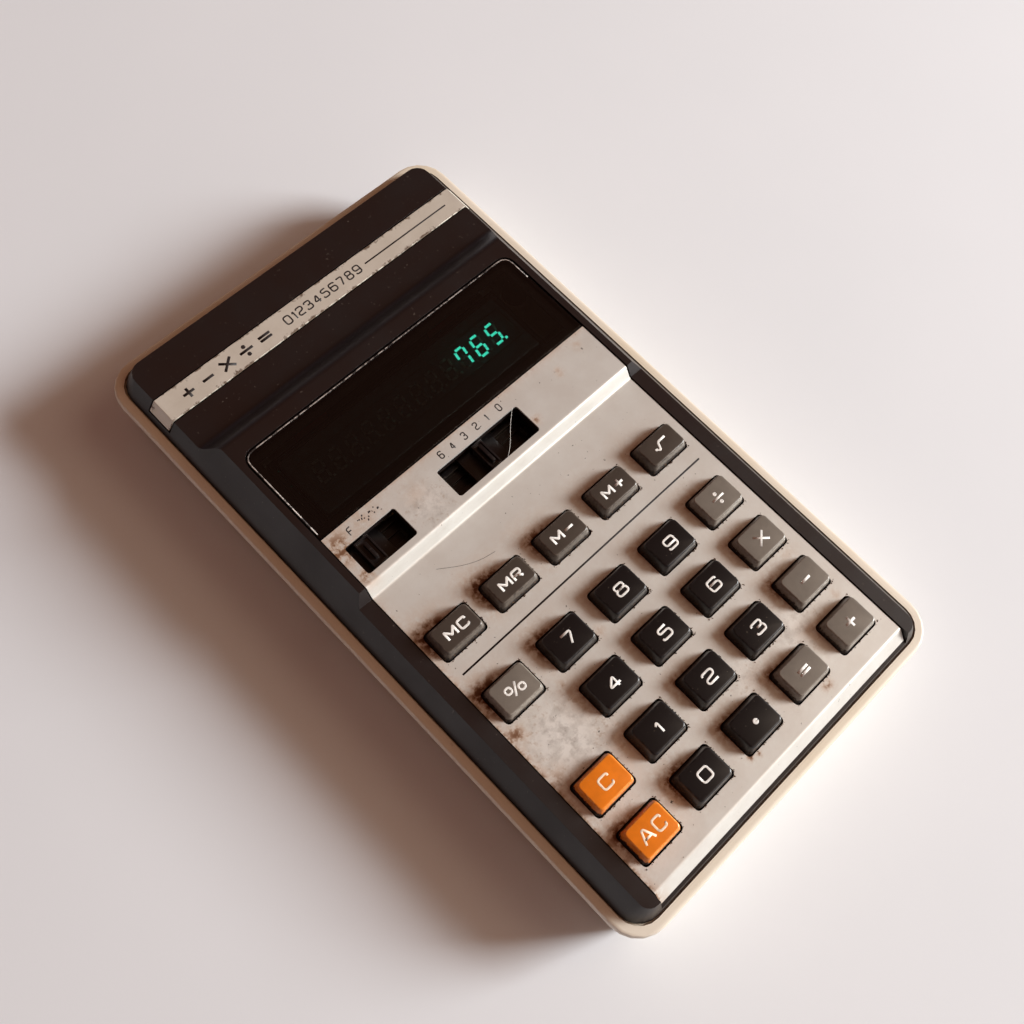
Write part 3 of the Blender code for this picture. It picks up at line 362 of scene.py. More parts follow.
def dot(x, y, weight):
    """A ring so thick that it closes on itself."""
    turns = [2 * pi * i / 12 for i in range(13)]
    return [Vector((x + weight / 2 * cos(turn), y + weight / 2 * sin(turn))) for turn in turns]


def rounded_path(points, radius):
    """A stroke's points with each corner turned into a short arc."""
    points = [Vector(point) for point in points]
    closed = (points[0] - points[-1]).length < 1e-9
    count = len(points) - 1
    found = [] if closed else [points[0]]
    for i in range(0 if closed else 1, count):
        corner, before, after = points[i], points[i - 1 if i else count - 1], points[i + 1]
        reach = [min(radius, (end - corner).length / 2) for end in (before, after)]
        start = corner + (before - corner).normalized() * reach[0]
        end = corner + (after - corner).normalized() * reach[1]
        for step in range(5):
            share = step / 4
            found.append(start * (1 - share) ** 2 + corner * 2 * share * (1 - share) + end * share ** 2)
    return found + ([found[0]] if closed else [points[-1]])


def written(text, height, stroke, x, y, gap=0.2, squeeze=1.0):
    """A line of glyphs centred on a place: each path with its weight, a share of the stroke."""
    widths = [GLYPHS[sign][0] * height * squeeze for sign in text]
    gap *= height
    at = x - (sum(widths) + gap * (len(text) - 1)) / 2
    paths = []
    for sign, width in zip(text, widths):
        corner = POINTED if sign in "MA" else ROUNDED
        for path in GLYPHS[sign][1]:
            left, foot = at + stroke / 2, y - height / 2 + stroke / 2
            points = [(left + u * (width - stroke), foot + v * (height - stroke)) for u, v in path]
            if len(points) == 1:
                size = GLYPHS[sign][2] * height / 2
                paths.append((dot(*points[0], size), size / stroke))
            else:
                paths.append((rounded_path(points, corner * height), 1.0))
        at += width + gap
    return paths


def inked(name, paths, stroke, level, relief):
    """Flat strokes along paths, lying on a level and standing a little proud of it."""
    curve = bpy.data.curves.new(name, "CURVE")
    curve.dimensions = "3D"
    curve.bevel_depth = stroke / 2
    curve.bevel_resolution = 2
    curve.use_fill_caps = True
    for path, weight in paths:
        spline = curve.splines.new("POLY")
        spline.points.add(len(path) - 1)
        for point, place in zip(spline.points, path):
            point.co = (*place, 0, 1)
            point.radius = weight
    made = bpy.data.objects.new(name, curve)
    bpy.context.scene.collection.objects.link(made)
    take(made)
    bpy.ops.object.convert(target="MESH")
    made = bpy.context.object
    made.data.transform(Matrix.Translation((0, 0, level)) @ Matrix.Scale(2 * relief / stroke, 4, (0, 0, 1)))
    return outward(made)


# ---- materials

def new_look(name):
    """An empty material and the object coordinates that its patterns lie on."""
    look = bpy.data.materials.new(name)
    look.use_nodes = True
    look.node_tree.nodes.clear()
    return look, add(look, "TexCoord", out="Object")


def add(look, kind, inputs=None, out=0, **settings):
    """Adds a node with its settings and inputs, each a value, a hex colour or a socket."""
    tree = look.node_tree
    made = tree.nodes.new("ShaderNode" + kind)
    for key, value in settings.items():
        setattr(made, key, value)
    for key, value in (inputs or {}).items():
        if isinstance(value, bpy.types.NodeSocket):
            tree.links.new(value, made.inputs[key])
        else:
            made.inputs[key].default_value = srgb(value) if isinstance(value, str) else value
    return made.outputs[out] if made.outputs else None


def finish(look, inputs):
    """Ends a material in one Principled shader."""
    shader = add(look, "BsdfPrincipled", inputs)
    add(look, "OutputMaterial", {"Surface": shader})
    return look


def finish_clear(look, body_code, face_code, gloss, ior):
    """Ends a material in a see-through body with a polished face."""
    through = add(look, "BsdfTransparent", {"Color": body_code})
    mirror = add(look, "BsdfGlossy", {"Color": face_code, "Roughness": gloss})
    share = add(look, "Fresnel", {"IOR": ior})
    mixed = add(look, "MixShader", {0: share, 1: through, 2: mirror})
    add(look, "OutputMaterial", {"Surface": mixed})
    return look


def patches(look, place, size, low, high, detail=4.0, most=1.0):
    """Cloudy patches of a real size: 0 where the noise is under low, the most where it is over high."""
    cloud = add(look, "TexNoise", {"Vector": place, "Scale": 1 / size, "Detail": detail, "Roughness": 0.6})
    return add(look, "MapRange", {"Value": cloud, "From Min": low, "From Max": high, "To Max": most})


def black_abs():
    """Moulded ABS, warm black with a fine spark-eroded grain: a soft sheen, dust in the grain."""
    look, place = new_look("black_abs")
    cloud = patches(look, place, 14 * MM, 0.35, 0.65)
    tone = add(look, "Mix", {0: cloud, 6: "#1C1210", 7: "#18100F"}, **COLOUR)
    dust = patches(look, place, 0.7 * MM, 0.70, 0.78, 2.0, 0.35)
    tone = add(look, "Mix", {0: dust, 6: tone, 7: "#8E8378"}, **COLOUR)
    gloss = add(look, "MapRange", {"Value": cloud, "To Min": 0.34, "To Max": 0.44})
    grain = add(look, "TexNoise", {"Vector": place, "Scale": 1 / (0.35 * MM), "Detail": 2.0})
    relief = add(look, "Bump", {"Height": grain, "Strength": 0.18, "Distance": 0.03 * MM})
    return finish(look, {"Base Color": tone, "Roughness": gloss, "Normal": relief, "IOR": 1.53})


def cream_abs():
    """Moulded ABS, ivory that has yellowed unevenly: satin, with grey handling marks."""
    look, place = new_look("cream_abs")
    aged = patches(look, place, 25 * MM, 0.3, 0.7)
    tone = add(look, "Mix", {0: aged, 6: "#E3D9C9", 7: "#DBCDB6"}, **COLOUR)
    marks = patches(look, place, 1.6 * MM, 0.66, 0.8, 5.0, 0.45)
    tone = add(look, "Mix", {0: marks, 6: tone, 7: "#A08C72"}, **COLOUR)
    # darker towards the bottom and across the underside
    height = add(look, "SeparateXYZ", {"Vector": place}, out="Z")
    darker_low = add(look, "MapRange", {"Value": height, "From Min": 1.5 * MM, "From Max": 0.0, "To Max": 0.3})
    tone = add(look, "Mix", {0: darker_low, 6: tone, 7: "#8C7A66"}, **COLOUR)
    grain = add(look, "TexNoise", {"Vector": place, "Scale": 1 / (0.4 * MM), "Detail": 2.0})
    relief = add(look, "Bump", {"Height": grain, "Strength": 0.12, "Distance": 0.03 * MM})
    return finish(look, {"Base Color": tone, "Roughness": 0.42, "Normal": relief, "IOR": 1.53})


def worn_aluminium():
    """Lacquered satin aluminium sheet: dull warm silver, stained rust brown with painted key shadows,
    pitted and rubbed bare.
    """
    look, place = new_look("worn_aluminium")
    # this attribute carries real stains and the keys' painted shadows
    stain_and_shadow = add(look, "Attribute", attribute_name="stain_and_shadow", out="Fac")
    rubbed = add(look, "Attribute", attribute_name="rubbed", out="Fac")
    cloud = patches(look, place, 6 * MM, 0.35, 0.65)
    tone = add(look, "Mix", {0: cloud, 6: "#DAD8D1", 7: "#D3CFC7"}, **COLOUR)
    # rubbed patches: pale corroded metal, mottled grey, with tan flecks round the edge
    mottle = patches(look, place, 2.0 * MM, 0.46, 0.66, 7.0)
    bare = add(look, "Mix", {0: mottle, 6: "#EEEBE4", 7: "#B4AEA6"}, **COLOUR)
    worn = patches(look, place, 1.6 * MM, 0.30, 0.5, 6.0)
    worn = add(look, "Math", {0: worn, 1: rubbed}, operation="MULTIPLY")
    tone = add(look, "Mix", {0: worn, 6: tone, 7: bare}, **COLOUR)
    rim = add(look, "MapRange", {"Value": rubbed, "From Min": 0.62, "From Max": 0.35})
    rim = add(look, "Math", {0: rim, 1: rubbed}, operation="MULTIPLY")
    flecks = patches(look, place, 0.8 * MM, 0.55, 0.66, 5.0)
    flecks = add(look, "Math", {0: flecks, 1: rim}, operation="MULTIPLY")
    tone = add(look, "Mix", {0: flecks, 6: tone, 7: "#9A7446"}, **COLOUR)
    # stains and the keys' painted shadows: a tan wash that turns to rust brown where it is thick
    ragged = patches(look, place, 1.4 * MM, 0.28, 0.56, 7.0)
    wash = add(look, "Math", {0: stain_and_shadow, 1: ragged}, operation="MULTIPLY")
    tone = add(look, "Mix", {0: wash, 6: tone, 7: "#A06F3C"}, **COLOUR)
    rust = add(look, "MapRange", {"Value": wash, "From Min": 0.45, "From Max": 0.95})
    tone = add(look, "Mix", {0: rust, 6: tone, 7: "#5E3618"}, **COLOUR)
    # pits: sparse dark specks
    specks = patches(look, place, 0.9 * MM, 0.735, 0.77, 2.0)
    tone = add(look, "Mix", {0: specks, 6: tone, 7: "#4C4036"}, **COLOUR)
    dull = add(look, "Math", {0: wash, 1: specks}, operation="MAXIMUM")
    gloss = add(look, "MapRange", {"Value": dull, "To Min": 0.40, "To Max": 0.8})
    metal = add(look, "MapRange", {"Value": dull, "To Min": 0.35, "To Max": 0.0})
    grain = add(look, "TexNoise", {"Vector": place, "Scale": 1 / (0.3 * MM), "Detail": 3.0})
    height = add(look, "Math", {0: grain, 1: dull}, operation="SUBTRACT")
    relief = add(look, "Bump", {"Height": height, "Strength": 0.12, "Distance": 0.04 * MM})
    return finish(look, {"Base Color": tone, "Roughness": gloss, "Metallic": metal, "Normal": relief})


def trim_aluminium():
    """Clear-lacquered aluminium strip, yellowed: a smooth cream silver with chips at its edges."""
    look, place = new_look("trim_aluminium")
    cloud = patches(look, place, 5 * MM, 0.35, 0.65)
    tone = add(look, "Mix", {0: cloud, 6: "#DDD6C8", 7: "#D4CCBD"}, **COLOUR)
    across = add(look, "SeparateXYZ", {"Vector": place}, out="Y")
    across = add(look, "Math", {0: across, 1: STRIP_Y}, operation="SUBTRACT")
    across = add(look, "Math", {0: across}, operation="ABSOLUTE")
    edge = add(look, "MapRange", {
        "Value": across, "From Min": 1.9 * MM, "From Max": 3.0 * MM, "To Max": 0.24})
    cloud = add(look, "TexNoise", {
        "Vector": place, "Scale": 1 / (1.5 * MM), "Detail": 6.0, "Roughness": 0.65})
    soiled = add(look, "Math", {0: cloud, 1: edge}, operation="ADD")
    chips = add(look, "MapRange", {"Value": soiled, "From Min": 0.68, "From Max": 0.78})
    tone = add(look, "Mix", {0: chips, 6: tone, 7: "#6B5A4C"}, **COLOUR)
    metal = add(look, "MapRange", {"Value": chips, "To Min": 0.35, "To Max": 0.0})
    return finish(look, {"Base Color": tone, "Roughness": 0.42, "Metallic": metal})


def smoked_acrylic():
    """Smoked acrylic sheet: a dark filter with a polished, faintly scratched face."""
    look, place = new_look("smoked_acrylic")
    smear = patches(look, place, 8 * MM, 0.4, 0.7)
    gloss = add(look, "MapRange", {"Value": smear, "To Min": 0.05, "To Max": 0.12})
    return finish_clear(look, "#C4CFD3", "#EAEFFF", gloss, 1.49)


def tube_glass():
    """Soda-lime glass envelope: clear, with a bright polished surface."""
    look, place = new_look("tube_glass")
    ripple = add(look, "TexNoise", {"Vector": place, "Scale": 1 / (6 * MM), "Detail": 1.0})
    gloss = add(look, "MapRange", {"Value": ripple, "To Min": 0.02, "To Max": 0.06})
    return finish_clear(look, "#E6EEEA", "#FFFFFF", gloss, 1.52)


def key_abs(name, tone_code, worn_code):
    """Double-shot ABS key: fine grain, edges polished pale by fingers, dirt and painted shade on the sides,
    darkest toward the plate.
    """
    look, place = new_look(name)
    cloud = patches(look, place, 3 * MM, 0.35, 0.65)
    deep = [channel * 0.86 for channel in srgb(tone_code)[:3]] + [1.0]
    tone = add(look, "Mix", {0: cloud, 6: tone_code, 7: deep}, **COLOUR)
    worn = add(look, "Attribute", attribute_name="worn", out="Fac")
    ragged = patches(look, place, 0.6 * MM, 0.38, 0.62, most=0.55)
    rub = add(look, "Math", {0: worn, 1: ragged}, operation="MULTIPLY")
    tone = add(look, "Mix", {0: rub, 6: tone, 7: worn_code}, **COLOUR)
    # dirt and painted shade, darkest at the foot of the key where it meets the plate
    height = add(look, "SeparateXYZ", {"Vector": place}, out="Z")
    clean, dirty_and_shaded = PLATE_TOP + 1.5 * MM, PLATE_TOP + 0.1 * MM
    low = add(look, "MapRange", {"Value": height, "From Min": clean, "From Max": dirty_and_shaded, "To Max": 0.56})
    ragged = add(look, "TexNoise", {
        "Vector": place, "Scale": 1 / (0.6 * MM), "Detail": 4.0, "Roughness": 0.65})
    soiled = add(look, "Math", {0: low, 1: ragged}, operation="ADD")
    dirt = add(look, "MapRange", {"Value": soiled, "From Min": 0.72, "From Max": 0.86})
    crust = patches(look, place, 0.35 * MM, 0.55, 0.68, 3.0)
    brown = add(look, "Mix", {0: crust, 6: "#1A110C", 7: "#6E5238"}, **COLOUR)
    tone = add(look, "Mix", {0: dirt, 6: tone, 7: brown}, **COLOUR)
    dust = patches(look, place, 0.5 * MM, 0.71, 0.76, 2.0, 0.4)
    tone = add(look, "Mix", {0: dust, 6: tone, 7: "#A39684"}, **COLOUR)
    gloss = add(look, "MapRange", {"Value": dirt, "To Min": 0.30, "To Max": 0.75})
    grain = add(look, "TexNoise", {"Vector": place, "Scale": 1 / (0.22 * MM), "Detail": 2.0})
    height = add(look, "Math", {0: grain, 1: dirt}, operation="ADD")
    relief = add(look, "Bump", {"Height": height, "Strength": 0.25, "Distance": 0.04 * MM})
    return finish(look, {"Base Color": tone, "Roughness": gloss, "Normal": relief, "IOR": 1.53})


def legend_abs(name, code):
    """The second shot of a key's moulding, or print: matt, a little dirty."""
    look, place = new_look(name)
    dirt = patches(look, place, 0.8 * MM, 0.5, 0.75)
    grey = [channel * 0.6 for channel in srgb(code)[:3]] + [1.0]
    tone = add(look, "Mix", {0: dirt, 6: code, 7: grey}, **COLOUR)
    return finish(look, {"Base Color": tone, "Roughness": 0.5})


def black_plastic():
    """Moulded acetal for knobs and housings: near black, waxy, with grey dust."""
    look, place = new_look("black_plastic")
    dust = patches(look, place, 0.6 * MM, 0.62, 0.74, 4.0)
    thin = add(look, "Math", {0: dust, 1: 0.3}, operation="MULTIPLY")
    tone = add(look, "Mix", {0: thin, 6: "#141112", 7: "#6E6258"}, **COLOUR)
    gloss = add(look, "MapRange", {"Value": dust, "To Min": 0.28, "To Max": 0.6})
    return finish(look, {"Base Color": tone, "Roughness": gloss, "IOR": 1.48})


def lit_phosphor():
    """Zinc oxide phosphor, driven: an even blue-green glow."""
    look, place = new_look("lit_phosphor")
    grains = patches(look, place, 0.5 * MM, 0.3, 0.7)
    tone = add(look, "Mix", {0: grains, 6: "#46F2C0", 7: "#5CFFD6"}, **COLOUR)
    return finish(look, {
        "Base Color": "#5C8076", "Roughness": 0.8, "Emission Color": tone, "Emission Strength": 2.3})


def powder(name, code, dark_code, size, roughness):
    """Matt mineral or paper surface with a fine cloudy grain: phosphor at rest, ceramic, ferrite."""
    look, place = new_look(name)
    cloud = patches(look, place, size, 0.35, 0.65)
    tone = add(look, "Mix", {0: cloud, 6: code, 7: dark_code}, **COLOUR)
    relief = add(look, "Bump", {"Height": cloud, "Strength": 0.2, "Distance": 0.03 * MM})
    return finish(look, {"Base Color": tone, "Roughness": roughness, "Normal": relief})


def worn_bead():
    """Silver foil line, rubbed through to black in places."""
    look, place = new_look("silver_foil")
    gone = patches(look, place, 1.2 * MM, 0.42, 0.56, 5.0)
    tone = add(look, "Mix", {0: gone, 6: "#B4AAA2", 7: "#2E2623"}, **COLOUR)
    return finish(look, {"Base Color": tone, "Roughness": 0.55, "Metallic": 0.3})


def drawn_metal(name, code, roughness, scratch=(1.0, 1.0, 12.0)):
    """Plated or drawn metal: bright, with fine drawing lines and slight tarnish."""
    look, place = new_look(name)
    stretched = add(look, "Mapping", {"Vector": place, "Scale": scratch})
    lines = patches(look, stretched, 0.8 * MM, 0.3, 0.7)
    dull = [channel * 0.7 for channel in srgb(code)[:3]] + [1.0]
    tone = add(look, "Mix", {0: lines, 6: code, 7: dull}, **COLOUR)
    gloss = add(look, "MapRange", {"Value": lines, "To Min": roughness, "To Max": roughness + 0.15})
    return finish(look, {"Base Color": tone, "Roughness": gloss, "Metallic": 1.0})


def phenolic_board():
    """Phenolic paper laminate with tinned copper tracks: brown and matt, the tracks metallic."""
    look, place = new_look("phenolic_board")
    cells = add(look, "TexVoronoi", {
        "Vector": place, "Scale": 1 / (3.2 * MM)}, distance="MANHATTAN", feature="DISTANCE_TO_EDGE")
    track = add(look, "MapRange", {"Value": cells, "From Min": 0.10, "From Max": 0.06})
    weave = patches(look, place, 1.5 * MM, 0.35, 0.65)
    base = add(look, "Mix", {0: weave, 6: "#8A5E30", 7: "#76502A"}, **COLOUR)
    tone = add(look, "Mix", {0: track, 6: base, 7: "#B8B0A0"}, **COLOUR)
    gloss = add(look, "MapRange", {"Value": track, "To Min": 0.55, "To Max": 0.35})
    return finish(look, {"Base Color": tone, "Roughness": gloss, "Metallic": track})


def cell_jacket():
    """Lacquered steel cell jacket lying along X: red, with a black band and bare zinc ends."""
    look, place = new_look("cell_jacket")
    along = add(look, "SeparateXYZ", {"Vector": place}, out="X")
    reach = add(look, "Math", {0: along}, operation="ABSOLUTE")
    jacket, band_half = 22.5 * MM, 14 * MM
    bare = add(look, "Math", {0: reach, 1: jacket}, operation="GREATER_THAN")
    band = add(look, "Math", {0: reach, 1: band_half}, operation="LESS_THAN")
    scuffs = patches(look, place, 2 * MM, 0.6, 0.75)
    tone = add(look, "Mix", {0: band, 6: "#8E2A20", 7: "#1C1A1A"}, **COLOUR)
    tone = add(look, "Mix", {0: bare, 6: tone, 7: "#B5B2AA"}, **COLOUR)
    gloss = add(look, "MapRange", {"Value": scuffs, "To Min": 0.28, "To Max": 0.5})
    return finish(look, {"Base Color": tone, "Roughness": gloss, "Metallic": bare})


# ---- pieces

def make_shell(node, name, slot, look, width=0.3 * MM, angle=35, segments=3):
    """A shell or sheet of the frame with its edges rounded."""
    shell = copied(node, name)
    rounded_edges(shell, width, angle, segments)
    fit(shell, "case", slot, look, node)


def key_form(name, node, face):
    """A key at the origin: foot, flange, upright skirt and a tapered cap with rounded edges."""
    low, high = corners(node)
    half = (high - low) / 2
    foot, top = low.z, high.z
    plate = top - KEY_HEIGHT
    flange = foot + FOOT_DEPTH
    form = block(name, (-half.x, -half.y, flange), (half.x, half.y, flange + FLANGE_THICK))
    edit(form)
    pick(form, "FACE", lambda part: part.normal.z > 0.9)
    bpy.ops.mesh.inset(thickness=FLANGE)
    extrude(z=plate - flange - FLANGE_THICK)
    extrude(z=top - plate)
    taper = (face[0] / 2 / (half.x - FLANGE), face[1] / 2 / (half.y - FLANGE), 1)
    bpy.ops.transform.resize(value=taper, center_override=(0, 0, top))
    skirt = flange + FLANGE_THICK

    def corner(edge):
        ends = sorted(vert.co.z for vert in edge.verts)
        return ends[0] > skirt - NEAR and ends[1] - ends[0] > 0.5 * MM

    pick(form, "EDGE", corner)
    bpy.ops.mesh.bevel(offset=KEY_CORNER, segments=4, affect="EDGES")
    pick(form, "EDGE", lambda edge: all(vert.co.z > top - NEAR for vert in edge.verts))
    bpy.ops.mesh.bevel(offset=KEY_ROUND, segments=4, affect="EDGES")
    pick(form, "FACE", lambda part: part.normal.z < -0.9)
    bpy.ops.mesh.inset(thickness=half.y - FOOT_HALF)
    extrude(z=-FOOT_DEPTH)
    leave()
    outward(form)
    worn = form.data.attributes.new("worn", "FLOAT", "POINT")
    for i, vert in enumerate(form.data.vertices):
        worn.data[i].value = 1.0 if top - 0.3 * MM < vert.co.z < top - 0.005 * MM else 0.0
    return smooth(form, 40)


def make_keys(looks):
    """Every key from two forms, each with its own legend inlaid in its top."""
    forms = {
        True: key_form("memory_form", "key_mc", MEMORY_FACE),
        False: key_form("number_form", "key_7", NUMBER_FACE)}
    for name, middle, _ in key_spans():
        node = "key_" + name
        tone = next((tone for tone, names in KEY_TONES.items() if name in names), "black")
        memory = tone == "umber"
        cap = forms[memory].copy()
        cap.data = cap.data.copy()
        cap.name = cap.data.name = name + "_cap"
        bpy.context.scene.collection.objects.link(cap)
        cap.data.transform(Matrix.Translation((middle.x, middle.y, 0)))
        cap.data.materials.append(looks[tone])
        text = LEGENDS.get(name, name)
        height = (2.3 if memory else 2.85 if text == "AC" else 2.7) * MM
        stroke = (0.52 if memory else 0.55 if text in "-+=" else 0.48) * MM
        squeeze = 0.85 if text == "AC" else 1.0
        paths = written(text, height, stroke, middle.x, middle.y, 0.16, squeeze)
        level = corners(node)[1].z - 0.2 * LEGEND_RELIEF
        legend = inked(name + "_legend", paths, stroke, level, LEGEND_RELIEF)
        legend.data.materials.append(looks["cream_legend" if tone == "orange" else "legend"])
        cap = joined(cap, legend)
        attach(cap, node)
        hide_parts(node)
    for form in forms.values():
        bpy.data.objects.remove(form)


def key_spans():
    """Each key's name, middle and half size at the plate."""
    for node in sorted(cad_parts):
        if node.startswith("key_"):
            low, high = corners(node)
            half = (high - low) / 2
            yield node[len("key_"):], (low + high) / 2, (half.x - FLANGE, half.y - FLANGE)


def stain_and_shadow_at(x, y, keys):
    """How stained the plate is at a place by the keys near it, with painted shadow added most of all on
    each key's side away from the light.
    """
    found = 0.0
    shadow_x, shadow_y = -0.75, 0.66  # the way the keys' shadows fall, up and to the left: there the stain carries painted shadow
    all_round, in_shadow = 0.18, 1.25
    reach, fade = 6 * MM, 2.5 * MM
    for middle, half, strength in keys:
        dx, dy = x - middle.x, y - middle.y
        gap = hypot(max(abs(dx) - half[0], 0), max(abs(dy) - half[1], 0))
        if gap < reach:
            away = hypot(dx, dy) or MM
            side = max((shadow_x * dx + shadow_y * dy) / away, 0.0)
            found = max(found, strength * (all_round + in_shadow * side ** 1.5) * exp(-gap / fade))
    return min(found, 1.0)


def blots(x, y, marks):
    """The strongest of some round marks at a place, each fading outwards."""
    found = 0.0
    for mark_x, mark_y, radius, strength in marks:
        away = hypot(x - mark_x * MM, y - mark_y * MM) / (radius * MM)
        found = max(found, strength * exp(-away * away))
    return found


def make_face_plate(look):
    """A fine grid extruded along the plate's bends, thickened and pierced for keys and switches."""
    low, high = corners("face_plate")
    deck = PLATE_TOP
    front = low.y + FACET_RUN
    clear()
    bpy.ops.mesh.primitive_grid_add(
        x_subdivisions=round((high.x - low.x) / GRID), y_subdivisions=round((STEP_FOOT - front) / GRID),
        size=1, location=((low.x + high.x) / 2, (front + STEP_FOOT) / 2, deck))
    plate = bpy.context.object
    plate.scale = (high.x - low.x, STEP_FOOT - front, 1)
    plate.name = plate.data.name = "pierced_face"
    bpy.ops.object.transform_apply(location=True, rotation=True, scale=True)
    edit(plate)
    pick(plate, "EDGE", lambda edge: all(vert.co.y > STEP_FOOT - NEAR for vert in edge.verts))
    extrude(y=STEP_RUN / 2, z=(high.z - deck) / 2)
    extrude(y=STEP_RUN / 2, z=(high.z - deck) / 2)
    shelf = high.y - STEP_FOOT - STEP_RUN
    rows = round(shelf / GRID)
    for _ in range(rows):
        extrude(y=shelf / rows)
    pick(plate, "EDGE", lambda edge: all(vert.co.y < front + NEAR for vert in edge.verts))
    drop = deck - low.z - SHEET * 0.5
    for _ in range(3):
        extrude(y=-FACET_RUN / 3, z=-drop / 3)
    bends = ((front, deck), (STEP_FOOT, deck), (STEP_FOOT + STEP_RUN, high.z))

    def bend(edge):
        return any(
            all(hypot(vert.co.y - y, vert.co.z - z) < NEAR for vert in edge.verts) for y, z in bends)

    pick(plate, "EDGE", bend)
    bpy.ops.mesh.bevel(offset=BEND, segments=3, affect="EDGES")
    bpy.ops.mesh.select_all(action="SELECT")
    bpy.ops.mesh.normals_make_consistent(inside=False)
    leave()
    if plate.data.polygons[0].normal.z < 0:
        plate.data.flip_normals()
    applied(plate, "SOLIDIFY", thickness=SHEET, offset=-1, use_even_offset=True)
    holes = []
    for _, middle, half in key_spans():
        reach = (half[0] + BEZEL, half[1] + BEZEL)
        holes.append(round_block(
            "hole", (middle.x - reach[0], middle.y - reach[1], deck - 2 * MM),
            (middle.x + reach[0], middle.y + reach[1], deck + MM), HOLE_CORNER))
    for span in (ROUNDING_WINDOW, DECIMAL_WINDOW):
        holes.append(round_block(
            "hole", (span[0], SWITCH_Y - SWITCH_LENGTH / 2, high.z - 2 * MM),
            (span[1], SWITCH_Y + SWITCH_LENGTH / 2, high.z + MM), HOLE_CORNER * 0.7))
    boolean(plate, joined(*holes), "DIFFERENCE")
    paint_stains_and_shadows(plate, low, high, deck)
    smooth(plate, 25)
    fit(plate, "case", "face_metal", look, "face_plate")


def paint_stains_and_shadows(plate, low, high, deck):
    """Paints where the plate is stained, where the keys' shadows fall on it as painted shadow, and where it
    is rubbed down to corroded metal.
    """
    chance = random.Random(7)
    strong = {"mc": 1.0, "mr": 1.0, "percent": 1.0, "7": 0.8, "m_minus": 0.75, "ac": 0.8, "0": 0.8}
    keys = [
        (middle, half, strong.get(name, chance.uniform(0.35, 0.65))) for name, middle, half in key_spans()]
    spots = [  # (x, y, radius, strength), in millimetres
        (-34, 14, 4.5, 0.9), (-26.5, 15.5, 5, 0.45), (-33.6, 7, 2.2, 0.8), (24, 13.3, 0.9, 0.9),
        (31, 15.3, 1.1, 0.5), (12.9, 8.8, 1.0, 0.8), (-16, 13.5, 3.0, 0.35), (30, -44, 3, 0.35),
        (31, -56, 1.2, 0.5), (-21, -32.6, 1.5, 0.6), (16, -66.4, 1.4, 0.8), (-8, -21.5, 2, 0.25),
        (-5, -65.3, 0.9, 0.95), (-3.4, -66, 0.6, 0.9), (-8.3, -29.8, 1.3, 0.6),
        (-33.8, -44, 3.0, 0.6), (-33.6, -33, 2.2, 0.9)]
    rubs = [(-27, -39.5, 6.5, 1.0), (-31, -59, 5, 0.6), (6, -56, 4, 0.55), (21, -55.5, 5, 0.75),
            (-15, 10, 4.2, 0.7), (30, -38, 2.5, 0.4), (-20, -45, 4, 0.5)]
    stain_and_shadow = plate.data.attributes.new("stain_and_shadow", "FLOAT", "POINT")
    rubbed = plate.data.attributes.new("rubbed", "FLOAT", "POINT")
    for i, vert in enumerate(plate.data.vertices):
        x, y = vert.co.x, vert.co.y
        # stains round the keys, with their painted shadows
        value = stain_and_shadow_at(x, y, keys) if vert.co.z < deck + 0.3 * MM else 0.0
        if y < STEP_FOOT:  # along the left edge, more toward the front
            forward = 0.5 + 0.5 * min(max(-y / (30 * MM), 0), 1)
            value = max(value, 0.75 * exp(-(x - low.x) / (1.3 * MM)) * forward)
        value = max(value, 0.5 * exp(-(high.y - y) / (0.9 * MM)))  # along the window
        stain_and_shadow.data[i].value = min(max(value, blots(x, y, spots)), 1.0)
        rubbed.data[i].value = blots(x, y, rubs)


def make_print(looks):
    """The ruled line across the keyboard, the switch scales and the strip's operator signs."""
    paths = [line(*((x, RULE_Y) for x in RULE_ENDS))]
    rule = inked("ruled_line", paths, 0.38 * MM, PLATE_TOP, PRINT_RELIEF)
    fit(rule, "case", "black_plastic", looks["print"])
    paths = []
    for sign, x in zip("643210", (-6.5, -3.5, -0.3, 2.9, 5.8, 9.1)):
        paths += written(sign, SCALE_HEIGHT, SCALE_STROKE, x * MM, 15.7 * MM, squeeze=0.55)
    paths += written("F", SCALE_HEIGHT, SCALE_STROKE, -29.9 * MM, 15.5 * MM, squeeze=0.8)
    chance = random.Random(3)
    for _ in range(16):  # a scale rubbed down to a few flecks
        x, y = chance.uniform(-27.6, -22.0) * MM, chance.uniform(14.7, 16.3) * MM
        lean = chance.uniform(0.1, 0.45) * MM
        paths.append(line((x, y), (x + lean * 0.5, y + lean)))
    scale = inked("switch_scale", paths, 0.26 * MM, corners("face_plate")[1].z, PRINT_RELIEF)
    fit(scale, "case", "black_plastic", looks["print"])
    strip_low, strip_high = corners("trim_strip")
    middle = (strip_low.y + strip_high.y) / 2
    paths = []
    bold, fine = 0.6 * MM, 0.34 * MM
    for sign, x in zip("+-x/=", (-33, -28.2, -23.4, -18.6, -13.8)):
        paths += written(sign, 2.9 * MM, bold, x * MM, middle)
    heavy = inked("strip_signs", paths, bold, strip_high.z, PRINT_RELIEF)
    paths = written("0123456789", 2.3 * MM, fine, 1.5 * MM, middle, squeeze=0.7)
    paths.append(line((13 * MM, middle), (36 * MM, middle)))
    signs = joined(inked("strip_scale", paths, fine, strip_high.z, PRINT_RELIEF), heavy)
    fit(signs, "case", "black_plastic", looks["print"])


